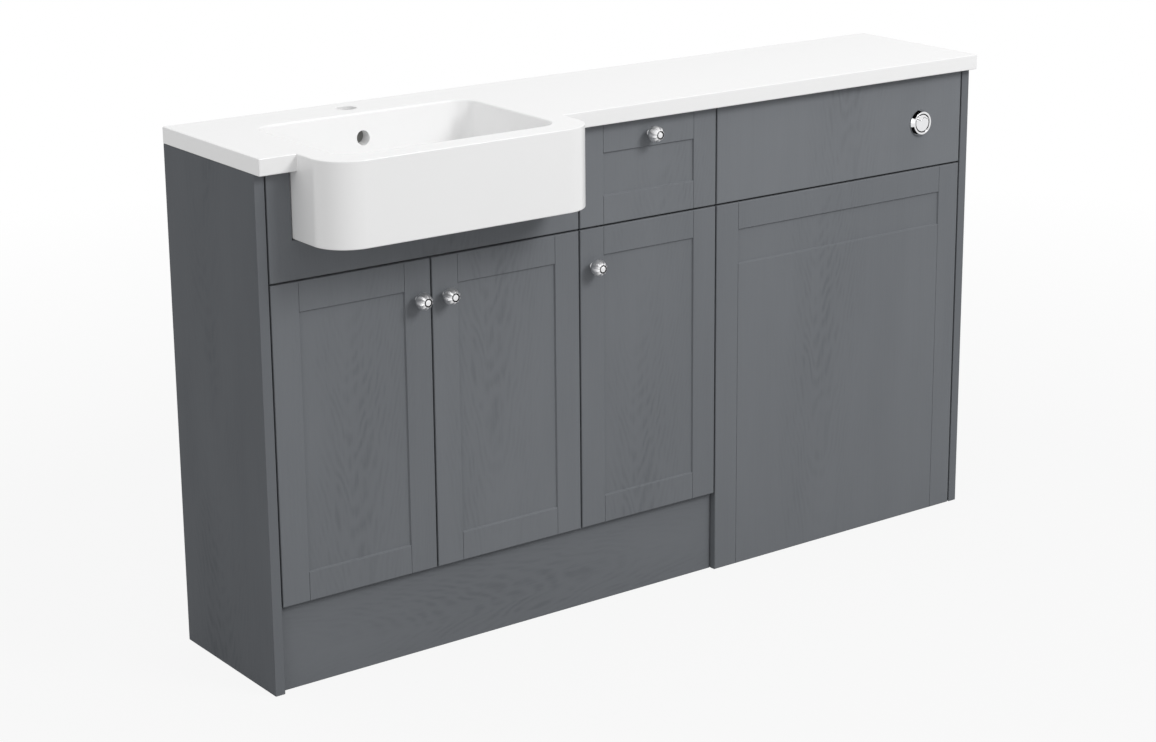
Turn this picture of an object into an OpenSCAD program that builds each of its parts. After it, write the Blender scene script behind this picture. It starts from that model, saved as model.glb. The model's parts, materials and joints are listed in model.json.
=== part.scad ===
// Fitted bathroom run: a basin unit, a narrow drawer unit and a toilet unit with a concealed
// cistern, between two end panels, under a one-piece top with a semi-recessed basin.
// Millimetres. X runs along the wall, Y from the room (-) to the wall (+), Z up from the floor.
// The origin is on the floor, in the middle of the overall width and depth.

/* [Run] */
// Width of the basin unit
basin_unit_w = 600; // [560:10:900]
// Width of the narrow unit with the drawer
drawer_unit_w = 300; // [250:10:500]
// Width of the toilet unit
wc_unit_w = 600; // [560:10:800]
// Height from the floor to the underside of the top
unit_h = 870; // [860:5:1100]
// Depth from the door faces to the wall
unit_d = 300; // [290:5:400]
// Height of the plinth space under the cupboards
plinth_h = 150; // [100:5:200]

/* [Boards] */
// Thickness of the carcass boards and end panels
board_t = 18; // [15:1:19]
// Thickness of doors, fascias and the drawer front
front_t = 20; // [18:1:24]
// Thickness of the narrow unit's back
back_t = 8; // [3:1:10]
// Distance from the wall to the narrow unit's back
back_inset = 12; // [8:1:40]
// Thickness of the plinth board
plinth_t = 15; // [12:1:18]
// Distance from the door faces back to the plinth face
plinth_setback = 13; // [10:1:40]
// Depth of the carcass rails
rail_d = 60; // [40:5:80]

/* [Fronts] */
// Gap between neighbouring fronts
front_gap = 3; // [2.5:0.5:5]
// Gap behind the doors
door_clear = 2; // [1.5:0.5:3]
// Height of the gap between the doors and the fronts above them
split_z = 690; // [600:5:760]
// Width of the shaker stiles and rails
stile_w = 50; // [40:1:70]
// Depth of the shaker recess
recess_d = 3.5; // [2:0.5:8]
// Height of the recessed band in the tall toilet panel
band_h = 64; // [30:1:120]
// Width of the joint lines between stiles and rails
joint_w = 1; // [0.5:0.1:2]
// Rounding of the front edges
edge_r = 2; // [1:0.5:4]

/* [Top and basin] */
// Thickness of the top
top_t = 28; // [20:1:40]
// How far the top stands in front of the doors
top_over_front = 20; // [0:1:40]
// How far the top stands past each end panel
top_over_end = 1; // [0:1:20]
// Outer width of the basin
basin_w = 506; // [440:2:540]
// How far the basin stands in front of the top
basin_out = 104; // [60:1:160]
// Outer height of the basin
basin_h = 140; // [120:1:170]
// Radius of the basin's front corners
basin_r = 61; // [20:1:100]
// Width of the bowl at its rim
bowl_w = 414; // [360:2:430]
// Width of the flat rim at the front and sides of the bowl
bowl_rim_front = 47; // [30:1:70]
// Front-to-back size of the bowl at its rim
bowl_l = 283; // [240:1:300]
// Depth of the bowl
bowl_depth = 118; // [90:1:125]
// Thickness of the basin wall behind the bowl
basin_wall = 16; // [10:1:25]
// Diameter of the tap hole
tap_hole_d = 35; // [32:1:38]
// Distance from the bowl's rear rim to the tap hole's centre
tap_back = 48; // [35:1:60]
// Diameter of the overflow hole
overflow_d = 25; // [20:1:30]
// Distance from the top surface down to the overflow's centre
overflow_drop = 43; // [30:1:60]
// Diameter of the waste hole
waste_hole_d = 45; // [42:1:48]

/* [Knobs] */
// How far a knob stands out
knob_proj = 32; // [28:1:40]
// Diameter of a knob's ball
knob_d = 29; // [24:1:34]
// Diameter of the flat that cuts off the ball's front
knob_face_d = 23.5; // [16:0.5:26]
// Distance from the top of a door to the knob's centre
knob_drop = 65.5; // [40:0.5:120]
// Distance from the top of the drawer front to its knob's centre
drawer_knob_drop = 26.5; // [15:0.5:80]
// Number of flutes round a knob
knob_flutes = 14; // [8:1:20]

/* [Flush button] */
// Diameter of the button's flange
bezel_d = 50; // [46:1:60]
// How far the button stands out of the panel
bezel_proj = 8; // [5:1:12]
// Diameter of the two-part push disc
disc_d = 35; // [30:1:40]
// Gap between the small and the large push disc
disc_gap = 0.6; // [0.4:0.1:1]
// Distance from the toilet unit's middle to the button, towards the right
button_off = 192; // [0:1:200]
// How far a push disc travels
button_travel = 5; // [3:0.5:6]

/* [Drawer] */
// Height of the drawer box
box_h = 120; // [80:5:130]
// Thickness of the drawer box boards
box_t = 12; // [10:1:16]
// Thickness of the drawer bottom
box_base_t = 6; // [4:1:8]
// Height of the runners
runner_h = 45; // [35:1:46]
// Room for a runner beside the drawer box
runner_space = 13; // [12.7:0.1:14]

/* [Cistern] */
// Width of the cistern
tank_w = 380; // [320:10:420]
// Depth of the cistern
tank_d = 140; // [120:5:150]
// Height of the cistern tank
tank_h = 340; // [300:10:380]
// Wall thickness of the cistern tank
tank_t = 4; // [3:0.5:5]
// Outer radius of the cistern tank's upright corners
tank_r = 12; // [10:1:24]
// Height of the flush outlet above the floor
outlet_z = 330; // [300:5:360]
// Outside diameter of the flush pipe
pipe_d = 40; // [38:1:50]

/* [Hidden] */
$fn = 64;

eps = 0.01;

// Overall frame
run_w = basin_unit_w + drawer_unit_w + wc_unit_w;
body_w = run_w + 2 * board_t;
total_d = unit_d + top_over_front + basin_out;
face_y = top_over_front + basin_out - total_d / 2;
back_y = face_y + unit_d;
carcass_y = face_y + front_t + door_clear;
carcass_d = back_y - carcass_y;
fixed_y = face_y + front_t;
top_z = unit_h + top_t;

// Left edges of the end panels and units
end_x = -body_w / 2;
basin_x = end_x + board_t;
drawer_x = basin_x + basin_unit_w;
wc_x = drawer_x + drawer_unit_w;
wc_end_x = wc_x + wc_unit_w;

// Fronts: each spans from one gap to the next
door_z = plinth_h;
door_top_z = split_z - front_gap / 2;
upper_z = split_z + front_gap / 2;
upper_top_z = unit_h - front_gap;
door_h = door_top_z - door_z;
upper_h = upper_top_z - upper_z;
left_x0 = basin_x + front_gap;
left_x1 = basin_x + basin_unit_w / 2 - front_gap / 2;
right_x0 = left_x1 + front_gap;
right_x1 = drawer_x - front_gap / 2;
narrow_x0 = drawer_x + front_gap / 2;
narrow_x1 = wc_x - front_gap / 2;
wc_x0 = wc_x + front_gap / 2;
wc_x1 = wc_end_x - front_gap;

// Basin
basin_cx = basin_x + basin_unit_w / 2;
basin_front_y = face_y - top_over_front - basin_out;
bowl_front_y = basin_front_y + bowl_rim_front;
bowl_back_y = bowl_front_y + bowl_l;
basin_back_y = bowl_back_y + basin_wall;
basin_bottom_z = top_z - basin_h;
bowl_floor_z = top_z - bowl_depth;
basin_back_r = 20;
bowl_r = 38;
bowl_floor_r = 28;
bowl_draft = 12;
bowl_cy = (bowl_front_y + bowl_back_y) / 2;
tap_y = bowl_back_y + tap_back;
overflow_z = top_z - overflow_drop;
cutout_clear = 2;

// Rails and shelves
rail_z = split_z;
rear_rail_h = 80;
fascia_rail_h = 60;
shelf_z = 420;
shelf_clear = 1;
shelf_setback = 30;
pin_d = 5;
pin_clear = 0.05;
pin_in = 10;
pin_out = 8;
pin_edge = 37;

// Legs
leg_edge_x = 50;
leg_edge_y = 50;
leg_r = 16;
foot_r = 27;

// Hinges
cup_r = 17.5;
cup_depth = 12.5;
cup_u = 22.5;
hinge_end = 100;
plate_t = 2.5;
plate_v = 37;
hinge_gap = 0.8;

// Knobs
knob_screw_r = 2;
screw_clear = 0.1;
knob_screw_in = 14;

// Drawer
runner_y = carcass_y + 2;
drawer_rear_gap = 6;
box_y = fixed_y;
box_back_y = back_y - back_inset - back_t - drawer_rear_gap;
box_l = box_back_y - box_y;
runner_l = box_back_y - runner_y;
box_x0 = drawer_x + board_t + runner_space;
box_x1 = wc_x - board_t - runner_space;
box_z = split_z + 22;
groove_d = 5;
groove_clear = 0.2;
base_up = 10;
runner_z = box_z + box_h / 2;
runner_wall = 1.2;

// Flush button
button_x = wc_x + wc_unit_w / 2 + button_off;
button_z = (upper_z + upper_top_z) / 2;
barrel_r = 19.5;
barrel_back = 48;
disc_clear = 0.3;
split_up = 8;
spigot_off = 7;
spigot_r = 2.4;
spigot_l = 12;

// Cistern
tank_cx = wc_x + wc_unit_w / 2;
tank_x = tank_cx - tank_w / 2;
tank_back_y = back_y - board_t - 4;
tank_y = tank_back_y - tank_d;
tank_top_z = unit_h - 35;
tank_z = tank_top_z - tank_h;
tank_cy = tank_y + tank_d / 2;
tank_floor_z = tank_z + tank_t;
fill_x = tank_cx + 120;
bracket_t = 3;
hose_r = 3;

// ---------------------------------------------------------------- shared shapes

// A board: one corner and three sizes
module board(x, y, z, w, d, h) {
  translate([x, y, z]) cube([w, d, h]);
}

// A rounded rectangle, its lower left corner at the origin
module rounded_rect(w, h, r) {
  translate([r, 0]) square([w - 2 * r, h]);
  translate([0, r]) square([w, h - 2 * r]);
  for (x = [r, w - r], y = [r, h - r]) translate([x, y]) circle(r);
}

// A strip whose two front corners are rounded: the section of a front panel
module eased_strip(w, t, r) {
  translate([0, r]) square([w, t - r]);
  translate([r, 0]) square([w - 2 * r, t]);
  for (x = [r, w - r]) translate([x, r]) circle(r, $fn = 32);
}

// A front panel with eased edges, face on Y = 0, lower left corner at the origin
module front_slab(w, h) {
  intersection() {
    linear_extrude(h) eased_strip(w, front_t, edge_r);
    translate([0, 0, h]) rotate([0, 90, 0]) linear_extrude(w) eased_strip(h, front_t, edge_r);
  }
}

// The section of a shaker recess: a pit with steep sides, cut from Y = 0
module recess_section(w) {
  draft = recess_d / 9;
  polygon([[0, -1], [w, -1], [w, 0], [w - draft, recess_d], [draft, recess_d], [0, 0]]);
}

// The recess itself, from lower left corner (x, z)
module recess(x, z, w, h) {
  translate([x, 0, z]) intersection() {
    linear_extrude(h) recess_section(w);
    translate([0, 0, h]) rotate([0, 90, 0]) linear_extrude(w) recess_section(h);
  }
}

// A V-shaped joint line up the face of a front panel
module joint_line(x, z, h) {
  translate([x, 0, z]) linear_extrude(h)
    polygon([[-joint_w / 2, -eps], [joint_w / 2, -eps], [0, joint_w]]);
}

// A shaker front: a slab with a recessed field and joint lines beside both rails
module shaker_front(w, h) {
  difference() {
    front_slab(w, h);
    recess(stile_w, stile_w, w - 2 * stile_w, h - 2 * stile_w);
    for (x = [stile_w, w - stile_w]) {
      joint_line(x, -eps, stile_w);
      joint_line(x, h - stile_w, stile_w + eps);
    }
  }
}

// A cylinder lying along +Y from y0 to y1
module y_cyl(r, y0, y1) {
  translate([0, y0, 0]) rotate([-90, 0, 0]) cylinder(r = r, h = y1 - y0);
}

// ---------------------------------------------------------------- end panels and top

module end_panel(x) {
  color("#5c5f64") board(x, face_y, 0, board_t, unit_d, unit_h);
}

module end_panel_left() { end_panel(end_x); }

module end_panel_right() { end_panel(wc_end_x); }

// Plan of the basin's outside, from its front to the wall behind the bowl
module basin_plan() {
  x0 = basin_cx - basin_w / 2;
  x1 = basin_cx + basin_w / 2;
  translate([x0 + basin_r, basin_front_y]) square([basin_w - 2 * basin_r, 2 * basin_r]);
  for (x = [x0 + basin_r, x1 - basin_r]) translate([x, basin_front_y + basin_r]) circle(basin_r);
  translate([x0, basin_front_y + basin_r])
    square([basin_w, basin_back_y - basin_front_y - basin_r - basin_back_r]);
  for (x = [x0 + basin_back_r, x1 - basin_back_r])
    translate([x, basin_back_y - basin_back_r]) circle(basin_back_r);
  translate([x0 + basin_back_r, basin_back_y - 2 * basin_back_r])
    square([basin_w - 2 * basin_back_r, 2 * basin_back_r]);
}

// The bowl: a rounded mouth drawn in to a smaller floor with rolled edges
module bowl_space() {
  x0 = basin_cx - bowl_w / 2 + bowl_r;
  x1 = basin_cx + bowl_w / 2 - bowl_r;
  y0 = bowl_front_y + bowl_r;
  y1 = bowl_back_y - bowl_r;
  s = bowl_draft + bowl_floor_r;
  hull() {
    for (x = [x0, x1], y = [y0, y1])
      translate([x, y, top_z]) cylinder(r = bowl_r, h = 1, $fn = 48);
    for (x = [basin_cx - bowl_w / 2 + s, basin_cx + bowl_w / 2 - s],
         y = [bowl_front_y + s, bowl_back_y - s])
      translate([x, y, bowl_floor_z + bowl_floor_r]) sphere(bowl_floor_r, $fn = 32);
  }
}

module basin_top() {
  w = body_w + 2 * top_over_end;
  y0 = face_y - top_over_front;
  color("white") difference() {
    union() {
      board(-w / 2, y0, unit_h, w, back_y - y0, top_t);
      translate([0, 0, basin_bottom_z]) linear_extrude(basin_h) basin_plan();
    }
    bowl_space();
    translate([basin_cx, tap_y, unit_h - 1]) cylinder(d = tap_hole_d, h = top_t + 2);
    translate([basin_cx, bowl_cy, basin_bottom_z - 1]) cylinder(d = waste_hole_d, h = basin_h);
    translate([basin_cx, bowl_cy, bowl_floor_z - 3]) cylinder(d = waste_hole_d + 20, h = 20);
    translate([basin_cx, 0, overflow_z]) y_cyl(overflow_d / 2, bowl_back_y - 30, basin_back_y + 1);
  }
}

// ---------------------------------------------------------------- carcasses

// A pair of unit sides from z0 up, with blind holes for the shelf pins
module unit_sides(x, w, z0, with_pins) {
  for (side = [0, 1]) {
    sx = side == 0 ? x : x + w - board_t;
    difference() {
      board(sx, carcass_y, z0, board_t, carcass_d, unit_h - z0);
      if (with_pins) for (y = pin_ys())
        translate([side == 0 ? sx + board_t - pin_in : sx - eps, y, shelf_z - pin_d / 2])
          rotate([0, 90, 0]) cylinder(d = pin_d + 2 * pin_clear, h = pin_in + eps, $fn = 24);
    }
  }
}

function pin_ys() = [carcass_y + shelf_setback + pin_edge, back_y - back_inset - back_t - pin_edge];

module basin_unit_sides() {
  color("#d9d9d6") unit_sides(basin_x, basin_unit_w, plinth_h, true);
}

module drawer_unit_sides() {
  color("#d9d9d6") unit_sides(drawer_x, drawer_unit_w, plinth_h, true);
}

module wc_unit_sides() {
  color("#d9d9d6") unit_sides(wc_x, wc_unit_w, 0, false);
}

// A board that spans between a unit's sides
module span(x, w, y, z, d, h) {
  board(x + board_t, y, z, w - 2 * board_t, d, h);
}

module basin_unit_base() {
  color("#d9d9d6") span(basin_x, basin_unit_w, carcass_y, plinth_h, carcass_d, board_t);
}

module drawer_unit_base() {
  color("#d9d9d6") span(drawer_x, drawer_unit_w, carcass_y, plinth_h, carcass_d, board_t);
}

// Front rail behind the fascia, and two rear rails with the wall fixing holes
module basin_unit_rails() {
  color("#d9d9d6") {
    span(basin_x, basin_unit_w, fixed_y, rail_z + front_gap, board_t, fascia_rail_h);
    rear_rail(basin_x, basin_unit_w, unit_h - rear_rail_h);
    span(basin_x, basin_unit_w, back_y - board_t, plinth_h + board_t, board_t, rear_rail_h);
  }
}

wall_hole_r = 3;
wall_hole_in = 80;

// An upper rear rail with two holes for wall screws
module rear_rail(x, w, z) {
  difference() {
    span(x, w, back_y - board_t, z, board_t, rear_rail_h);
    for (hx = [x + wall_hole_in, x + w - wall_hole_in])
      translate([hx, 0, z + rear_rail_h / 2]) y_cyl(wall_hole_r, back_y - board_t - 1, back_y + 1);
  }
}

module drawer_unit_back() {
  color("#d9d9d6") span(drawer_x, drawer_unit_w, back_y - back_inset - back_t,
    plinth_h + board_t, back_t, unit_h - plinth_h - board_t);
}

// Top rail and the rail between drawer and door
module drawer_unit_rails() {
  color("#d9d9d6") {
    span(drawer_x, drawer_unit_w, carcass_y, unit_h - board_t, rail_d, board_t);
    span(drawer_x, drawer_unit_w, carcass_y, rail_z - board_t / 2, rail_d, board_t);
  }
}

// An adjustable shelf lying on four pins
module shelf(x, w, back) {
  color("#d9d9d6") board(x + board_t + shelf_clear, carcass_y + shelf_setback, shelf_z,
    w - 2 * board_t - 2 * shelf_clear, back - carcass_y - shelf_setback, board_t);
}

module basin_unit_shelf() {
  shelf(basin_x, basin_unit_w, back_y - back_inset - back_t - shelf_clear);
}

module drawer_unit_shelf() {
  shelf(drawer_x, drawer_unit_w, back_y - back_inset - back_t - shelf_clear);
}

// Shelf pins: a peg in the side and a flat-topped spoon under the shelf
module shelf_pins() {
  color("silver") for (u = [[basin_x, basin_unit_w], [drawer_x, drawer_unit_w]], y = pin_ys()) {
    shelf_pin(u[0] + board_t, y, 1);
    shelf_pin(u[0] + u[1] - board_t, y, -1);
  }
}

module shelf_pin(x, y, s) {
  translate([x, y, shelf_z - pin_d / 2]) scale([s, 1, 1]) {
    translate([-pin_in + 0.5, 0, 0]) rotate([0, 90, 0]) cylinder(d = pin_d, h = pin_in + pin_out, $fn = 24);
    translate([0, -pin_d, -pin_d]) cube([pin_out, 2 * pin_d, 1.5 * pin_d]);
  }
}

// ---------------------------------------------------------------- fixed fronts and plinth

// Plain fascia, cut away round the basin
module basin_fascia() {
  w = right_x1 - left_x0;
  cut = basin_w + 2 * cutout_clear;
  color("#6b6e73") difference() {
    translate([left_x0, face_y, upper_z]) front_slab(w, upper_h);
    board(basin_cx - cut / 2, face_y - 1, basin_bottom_z - cutout_clear, cut, front_t + 2, unit_h);
  }
}

module wc_unit_front_rails() {
  h = 58;
  color("#d9d9d6") {
    span(wc_x, wc_unit_w, fixed_y, unit_h - h, board_t, h);
    span(wc_x, wc_unit_w, fixed_y, split_z - h / 2, board_t, h);
    span(wc_x, wc_unit_w, fixed_y, 10, board_t, h);
  }
}

module wc_unit_rear_rails() {
  color("#d9d9d6") {
    rear_rail(wc_x, wc_unit_w, unit_h - rear_rail_h);
    span(wc_x, wc_unit_w, back_y - board_t, tank_z - rear_rail_h, board_t, rear_rail_h);
  }
}

module wc_access_panel() {
  color("#6b6e73") difference() {
    translate([wc_x0, face_y, upper_z]) front_slab(wc_x1 - wc_x0, upper_h);
    translate([button_x, 0, button_z]) y_cyl(barrel_r + disc_clear, face_y - 1, fixed_y + 1);
  }
}

// Tall panel: a top rail, a recessed band, then a flush field between two joint lines
module wc_front_panel() {
  w = wc_x1 - wc_x0;
  color("#6b6e73") translate([wc_x0, face_y, 0]) difference() {
    front_slab(w, door_top_z);
    recess(stile_w, door_top_z - stile_w - band_h, w - 2 * stile_w, band_h);
    for (x = [stile_w, w - stile_w]) {
      joint_line(x, -eps, door_top_z - stile_w - band_h + eps);
      joint_line(x, door_top_z - stile_w, stile_w + eps);
    }
  }
}

module plinth() {
  color("#6b6e73") board(basin_x, face_y + plinth_setback, 0, wc_x - basin_x, plinth_t,
    plinth_h - front_gap);
}

// ---------------------------------------------------------------- legs

function leg_xs() = [basin_x + leg_edge_x, drawer_x - leg_edge_x, drawer_x + leg_edge_x,
  wc_x - leg_edge_x];
function leg_ys() = [carcass_y + leg_edge_y, back_y - leg_edge_y];

// A socket under the base and a foot that screws up into it
module adjustable_legs() {
  socket_z = 34;
  color("#26282a") for (x = leg_xs(), y = leg_ys()) translate([x, y, 0]) {
    difference() {
      union() {
        translate([0, 0, plinth_h - 6]) cylinder(r = foot_r + 3, h = 6);
        translate([0, 0, socket_z]) cylinder(r = leg_r, h = plinth_h - socket_z - 3);
      }
      translate([0, 0, socket_z - 1]) cylinder(r = 10.3, h = 60);
    }
    cylinder(r = foot_r, h = 7);
    translate([0, 0, 7 - eps]) cylinder(r = 19, h = 14, $fn = 6);
    translate([0, 0, 20]) cylinder(r = 10, h = 50);
  }
}

// Clips on the front legs that hold the plinth
module plinth_clips() {
  back = face_y + plinth_setback + plinth_t;
  leg_y = leg_ys()[0];
  clip_z = 90;
  clip_h = 16;
  color("#26282a") for (x = leg_xs()) translate([x, 0, clip_z]) difference() {
    union() {
      translate([0, leg_y, 0]) cylinder(r = leg_r + 3, h = clip_h);
      translate([-6, back, 0]) cube([12, leg_y - back - leg_r + 1, clip_h]);
      translate([-18, back, -8]) cube([36, 3, clip_h + 16]);
    }
    translate([0, leg_y, -1]) cylinder(r = leg_r + 0.3, h = clip_h + 2);
    translate([-leg_r * 0.7, leg_y + leg_r * 0.5, -1]) cube([leg_r * 1.4, leg_r, clip_h + 2]);
  }
}

// ---------------------------------------------------------------- hinges

// Stands at a hinge: u runs from the door's hinged edge into the door, v from its face back
module at_hinges(x, mirrored) {
  for (z = [door_z + hinge_end, door_top_z - hinge_end])
    translate([x, face_y, z]) mirror([mirrored ? 1 : 0, 0, 0]) children();
}

module cup_bores(x, mirrored) {
  at_hinges(x, mirrored) translate([cup_u, 0, 0]) y_cyl(cup_r, front_t - cup_depth, front_t + 1);
}

// Pressed cup with its two-winged flange against the back of the door
module hinge_cup() {
  v0 = front_t - cup_depth + 0.1;
  flange_t = 1.2;
  translate([cup_u, 0, 0]) difference() {
    union() {
      y_cyl(cup_r - 0.1, v0, front_t + flange_t / 2);
      translate([0, front_t, 0]) rotate([-90, 0, 0]) linear_extrude(flange_t) {
        circle(cup_r + 1.5);
        translate([-5, -26]) square([10, 52]);
      }
    }
    y_cyl(cup_r - 1.3, v0 + 1.2, front_t + flange_t + 1);
  }
}

// Cranked arm: channel along the side, nose reaching into the cup; s is the side's face
module hinge_arm(s) {
  v_end = front_t + door_clear + 62;
  w = 5;
  translate([0, 0, -w]) linear_extrude(2 * w)
    polygon([[s + plate_t, v_end], [s + 9, v_end], [s + 11, 34], [29, 26],
      [28.4, 13], [25, 11.5], [22.4, 13.5], [22.4, 22], [s + plate_t, 30]]);
}

// Cross-shaped mounting plate on the carcass side
module hinge_plate(s) {
  v = front_t + door_clear + plate_v;
  translate([s, 0, 0]) difference() {
    union() {
      translate([0, v - 20, -8]) cube([plate_t, 40, 16]);
      translate([0, v - 7, -24]) cube([plate_t, 14, 48]);
    }
    for (z = [-16, 16]) translate([-1, v, z]) rotate([0, 90, 0])
      cylinder(r = 2.2, h = plate_t + 2, $fn = 24);
  }
}

module all_hinges() {
  at_hinges(left_x0, false) children(0);
  for (x = [right_x1, narrow_x1]) at_hinges(x, true) children(1);
}

module hinge_arms() {
  color("silver") all_hinges() {
    hinge_arm(board_t - front_gap);
    hinge_arm(board_t - front_gap / 2);
  }
}

module hinge_plates() {
  color("silver") all_hinges() {
    hinge_plate(board_t - front_gap);
    hinge_plate(board_t - front_gap / 2);
  }
}

module hinge_cups_left() { color("silver") at_hinges(left_x0, false) hinge_cup(); }
module hinge_cups_right() { color("silver") at_hinges(right_x1, true) hinge_cup(); }
module hinge_cups_narrow() { color("silver") at_hinges(narrow_x1, true) hinge_cup(); }

// ---------------------------------------------------------------- doors and knobs

door_knob_z = door_top_z - knob_drop;
left_knob_x = left_x1 - stile_w / 2;
right_knob_x = right_x0 + stile_w / 2;
narrow_knob_x = narrow_x0 + stile_w / 2;
drawer_knob_x = (narrow_x0 + narrow_x1) / 2;
drawer_knob_z = upper_top_z - drawer_knob_drop;

// A shaker door from x0 to x1, bored for its hinges and its knob screw
module door(x0, x1, hinge_x, mirrored, knob_x) {
  color("#6b6e73") difference() {
    translate([x0, face_y, door_z]) shaker_front(x1 - x0, door_h);
    cup_bores(hinge_x, mirrored);
    translate([knob_x, 0, door_knob_z]) y_cyl(knob_screw_r + screw_clear, face_y - 1, fixed_y + 1);
  }
}

module door_left() { door(left_x0, left_x1, left_x0, false, left_knob_x); }
module door_right() { door(right_x0, right_x1, right_x1, true, right_knob_x); }
module door_narrow() { door(narrow_x0, narrow_x1, narrow_x1, true, narrow_knob_x); }

module drawer_front() {
  color("#6b6e73") difference() {
    translate([narrow_x0, face_y, upper_z]) shaker_front(narrow_x1 - narrow_x0, upper_h);
    translate([drawer_knob_x, 0, drawer_knob_z])
      y_cyl(knob_screw_r + screw_clear, face_y - 1, fixed_y + 1);
  }
}

// How far the ball's centre stands out, so that its flat comes at the knob's full projection
function knob_ball_out() =
  knob_proj - sqrt(knob_d * knob_d - knob_face_d * knob_face_d) / 2;

// Half section of the knob's ball, flat at the front
module knob_ball_section() {
  intersection() {
    translate([0, knob_ball_out()]) circle(knob_d / 2, $fn = 120);
    square([knob_d, knob_proj]);
  }
}

// A knob standing out along -Y: foot, neck, a ball fluted towards its flat, a groove round the flat
module knob(x, z) {
  flute_r = 4;
  flute_depth = 1.1;
  flute_tilt = 22;
  flute_l = 26;
  neck_r = 5;
  groove_in = 7.8;
  groove_out = 9.8;
  color("#c9cbcd") translate([x, face_y, z]) rotate([90, 0, 0]) difference() {
    union() {
      cylinder(r = 7, h = 2);
      cylinder(r = neck_r, h = knob_ball_out());
      difference() {
        rotate_extrude() knob_ball_section();
        for (i = [0 : knob_flutes - 1]) rotate(i * 360 / knob_flutes)
          translate([0, 0, knob_ball_out()]) rotate([0, -flute_tilt, 0])
            translate([knob_d / 2 + flute_r - flute_depth, 0, -flute_l / 2])
              cylinder(r = flute_r, h = flute_l, $fn = 32);
      }
    }
    translate([0, 0, -eps]) cylinder(r = knob_screw_r + screw_clear, h = knob_screw_in);
    translate([0, 0, knob_proj - 1.6]) difference() {
      cylinder(r = groove_out, h = 3);
      translate([0, 0, -1]) cylinder(r = groove_in, h = 5);
    }
  }
}

module knob_left() { knob(left_knob_x, door_knob_z); }
module knob_right() { knob(right_knob_x, door_knob_z); }
module knob_narrow() { knob(narrow_knob_x, door_knob_z); }
module knob_drawer() { knob(drawer_knob_x, drawer_knob_z); }

// Pan-head screw from behind the front into the knob
module knob_screw(x, z) {
  head_h = 1.8;
  color("silver") translate([x, 0, z]) {
    y_cyl(knob_screw_r, face_y - knob_screw_in + 1, fixed_y + eps);
    y_cyl(4, fixed_y, fixed_y + head_h);
  }
}

module knob_screw_left() { knob_screw(left_knob_x, door_knob_z); }
module knob_screw_right() { knob_screw(right_knob_x, door_knob_z); }
module knob_screw_narrow() { knob_screw(narrow_knob_x, door_knob_z); }
module knob_screw_drawer() { knob_screw(drawer_knob_x, drawer_knob_z); }

// ---------------------------------------------------------------- drawer box and runners

// Two sides, a front and a back, each grooved for the bottom
module drawer_box_walls() {
  w = box_x1 - box_x0;
  base_z = box_z + base_up;
  color("#e4e2dc") difference() {
    union() {
      board(box_x0, box_y, box_z, box_t, box_l, box_h);
      board(box_x1 - box_t, box_y, box_z, box_t, box_l, box_h);
      board(box_x0 + box_t, box_y, box_z, w - 2 * box_t, box_t, box_h);
      board(box_x0 + box_t, box_back_y - box_t, box_z, w - 2 * box_t, box_t, box_h);
    }
    board(box_x0 + box_t - groove_d, box_y + box_t - groove_d, base_z - groove_clear / 2,
      w - 2 * (box_t - groove_d), box_l - 2 * (box_t - groove_d), box_base_t + groove_clear);
  }
}

module drawer_box_base() {
  in = box_t - groove_d + groove_clear;
  color("#e4e2dc") board(box_x0 + in, box_y + in, box_z + base_up, box_x1 - box_x0 - 2 * in,
    box_l - 2 * in, box_base_t);
}

// Sections of the three runner members, measured from the carcass side towards the drawer
module channel(x0, x1, h, open_out) {
  web = open_out ? x1 - runner_wall : x0;
  translate([web, -h / 2]) square([runner_wall, h]);
  for (z = [-h / 2, h / 2 - runner_wall]) translate([x0, z]) square([x1 - x0, runner_wall]);
}

// A pair of runner members on both sides of the drawer
module runner_pair() {
  for (side = [0, 1])
    translate([side == 0 ? drawer_x + board_t : wc_x - board_t, runner_y + runner_l, runner_z])
      mirror([side, 0, 0]) rotate([90, 0, 0]) linear_extrude(runner_l) children();
}

module runner_outer() { color("silver") runner_pair() channel(0, 10.4, runner_h, false); }
module runner_middle() {
  color("silver") runner_pair() channel(2, 11.2, runner_h - 2 * (runner_wall + hinge_gap), false);
}
module runner_inner() {
  color("silver") runner_pair()
    channel(4, runner_space, runner_h - 4 * (runner_wall + hinge_gap), true);
}

// ---------------------------------------------------------------- flush button

module at_button() { translate([button_x, 0, button_z]) children(); }

// Chrome flange with a tapered rim, a threaded barrel through the panel, two air spigots
module flush_bezel() {
  face = face_y - bezel_proj;
  rim = disc_d / 2 + 4;
  color("#d5d7d9") at_button() {
    difference() {
      union() {
        translate([0, face, 0]) rotate([-90, 0, 0])
          cylinder(r1 = rim, r2 = bezel_d / 2, h = bezel_proj - 2);
        y_cyl(bezel_d / 2, face_y - 2, face_y);
        y_cyl(barrel_r, face_y - eps, face_y + barrel_back);
      }
      y_cyl(disc_d / 2 + disc_clear, face - 1, face_y + barrel_back - 8);
    }
    for (x = [-spigot_off, spigot_off]) translate([x, 0, 0])
      y_cyl(spigot_r, face_y + barrel_back - eps, face_y + barrel_back + spigot_l - 0.5);
  }
}

module flush_nut() {
  color("#e8e8e6") at_button() difference() {
    y_cyl(26, fixed_y, fixed_y + 9);
    y_cyl(barrel_r + 0.1, fixed_y - 1, fixed_y + 10);
  }
}

// The small button's side of the wavy line that parts it from the large one, grown all along by
// an even amount, so that the gap between the two is the same width everywhere
module small_area(grow) {
  r = disc_d / 2;
  wave = 5;
  difference() {
    union() {
      translate([-r, split_up - grow]) square([2 * r, r + grow]);
      translate([-wave, split_up + wave * 0.5]) circle(wave + grow);
    }
    translate([wave, split_up - wave * 0.5]) circle(wave - grow);
  }
}

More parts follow.
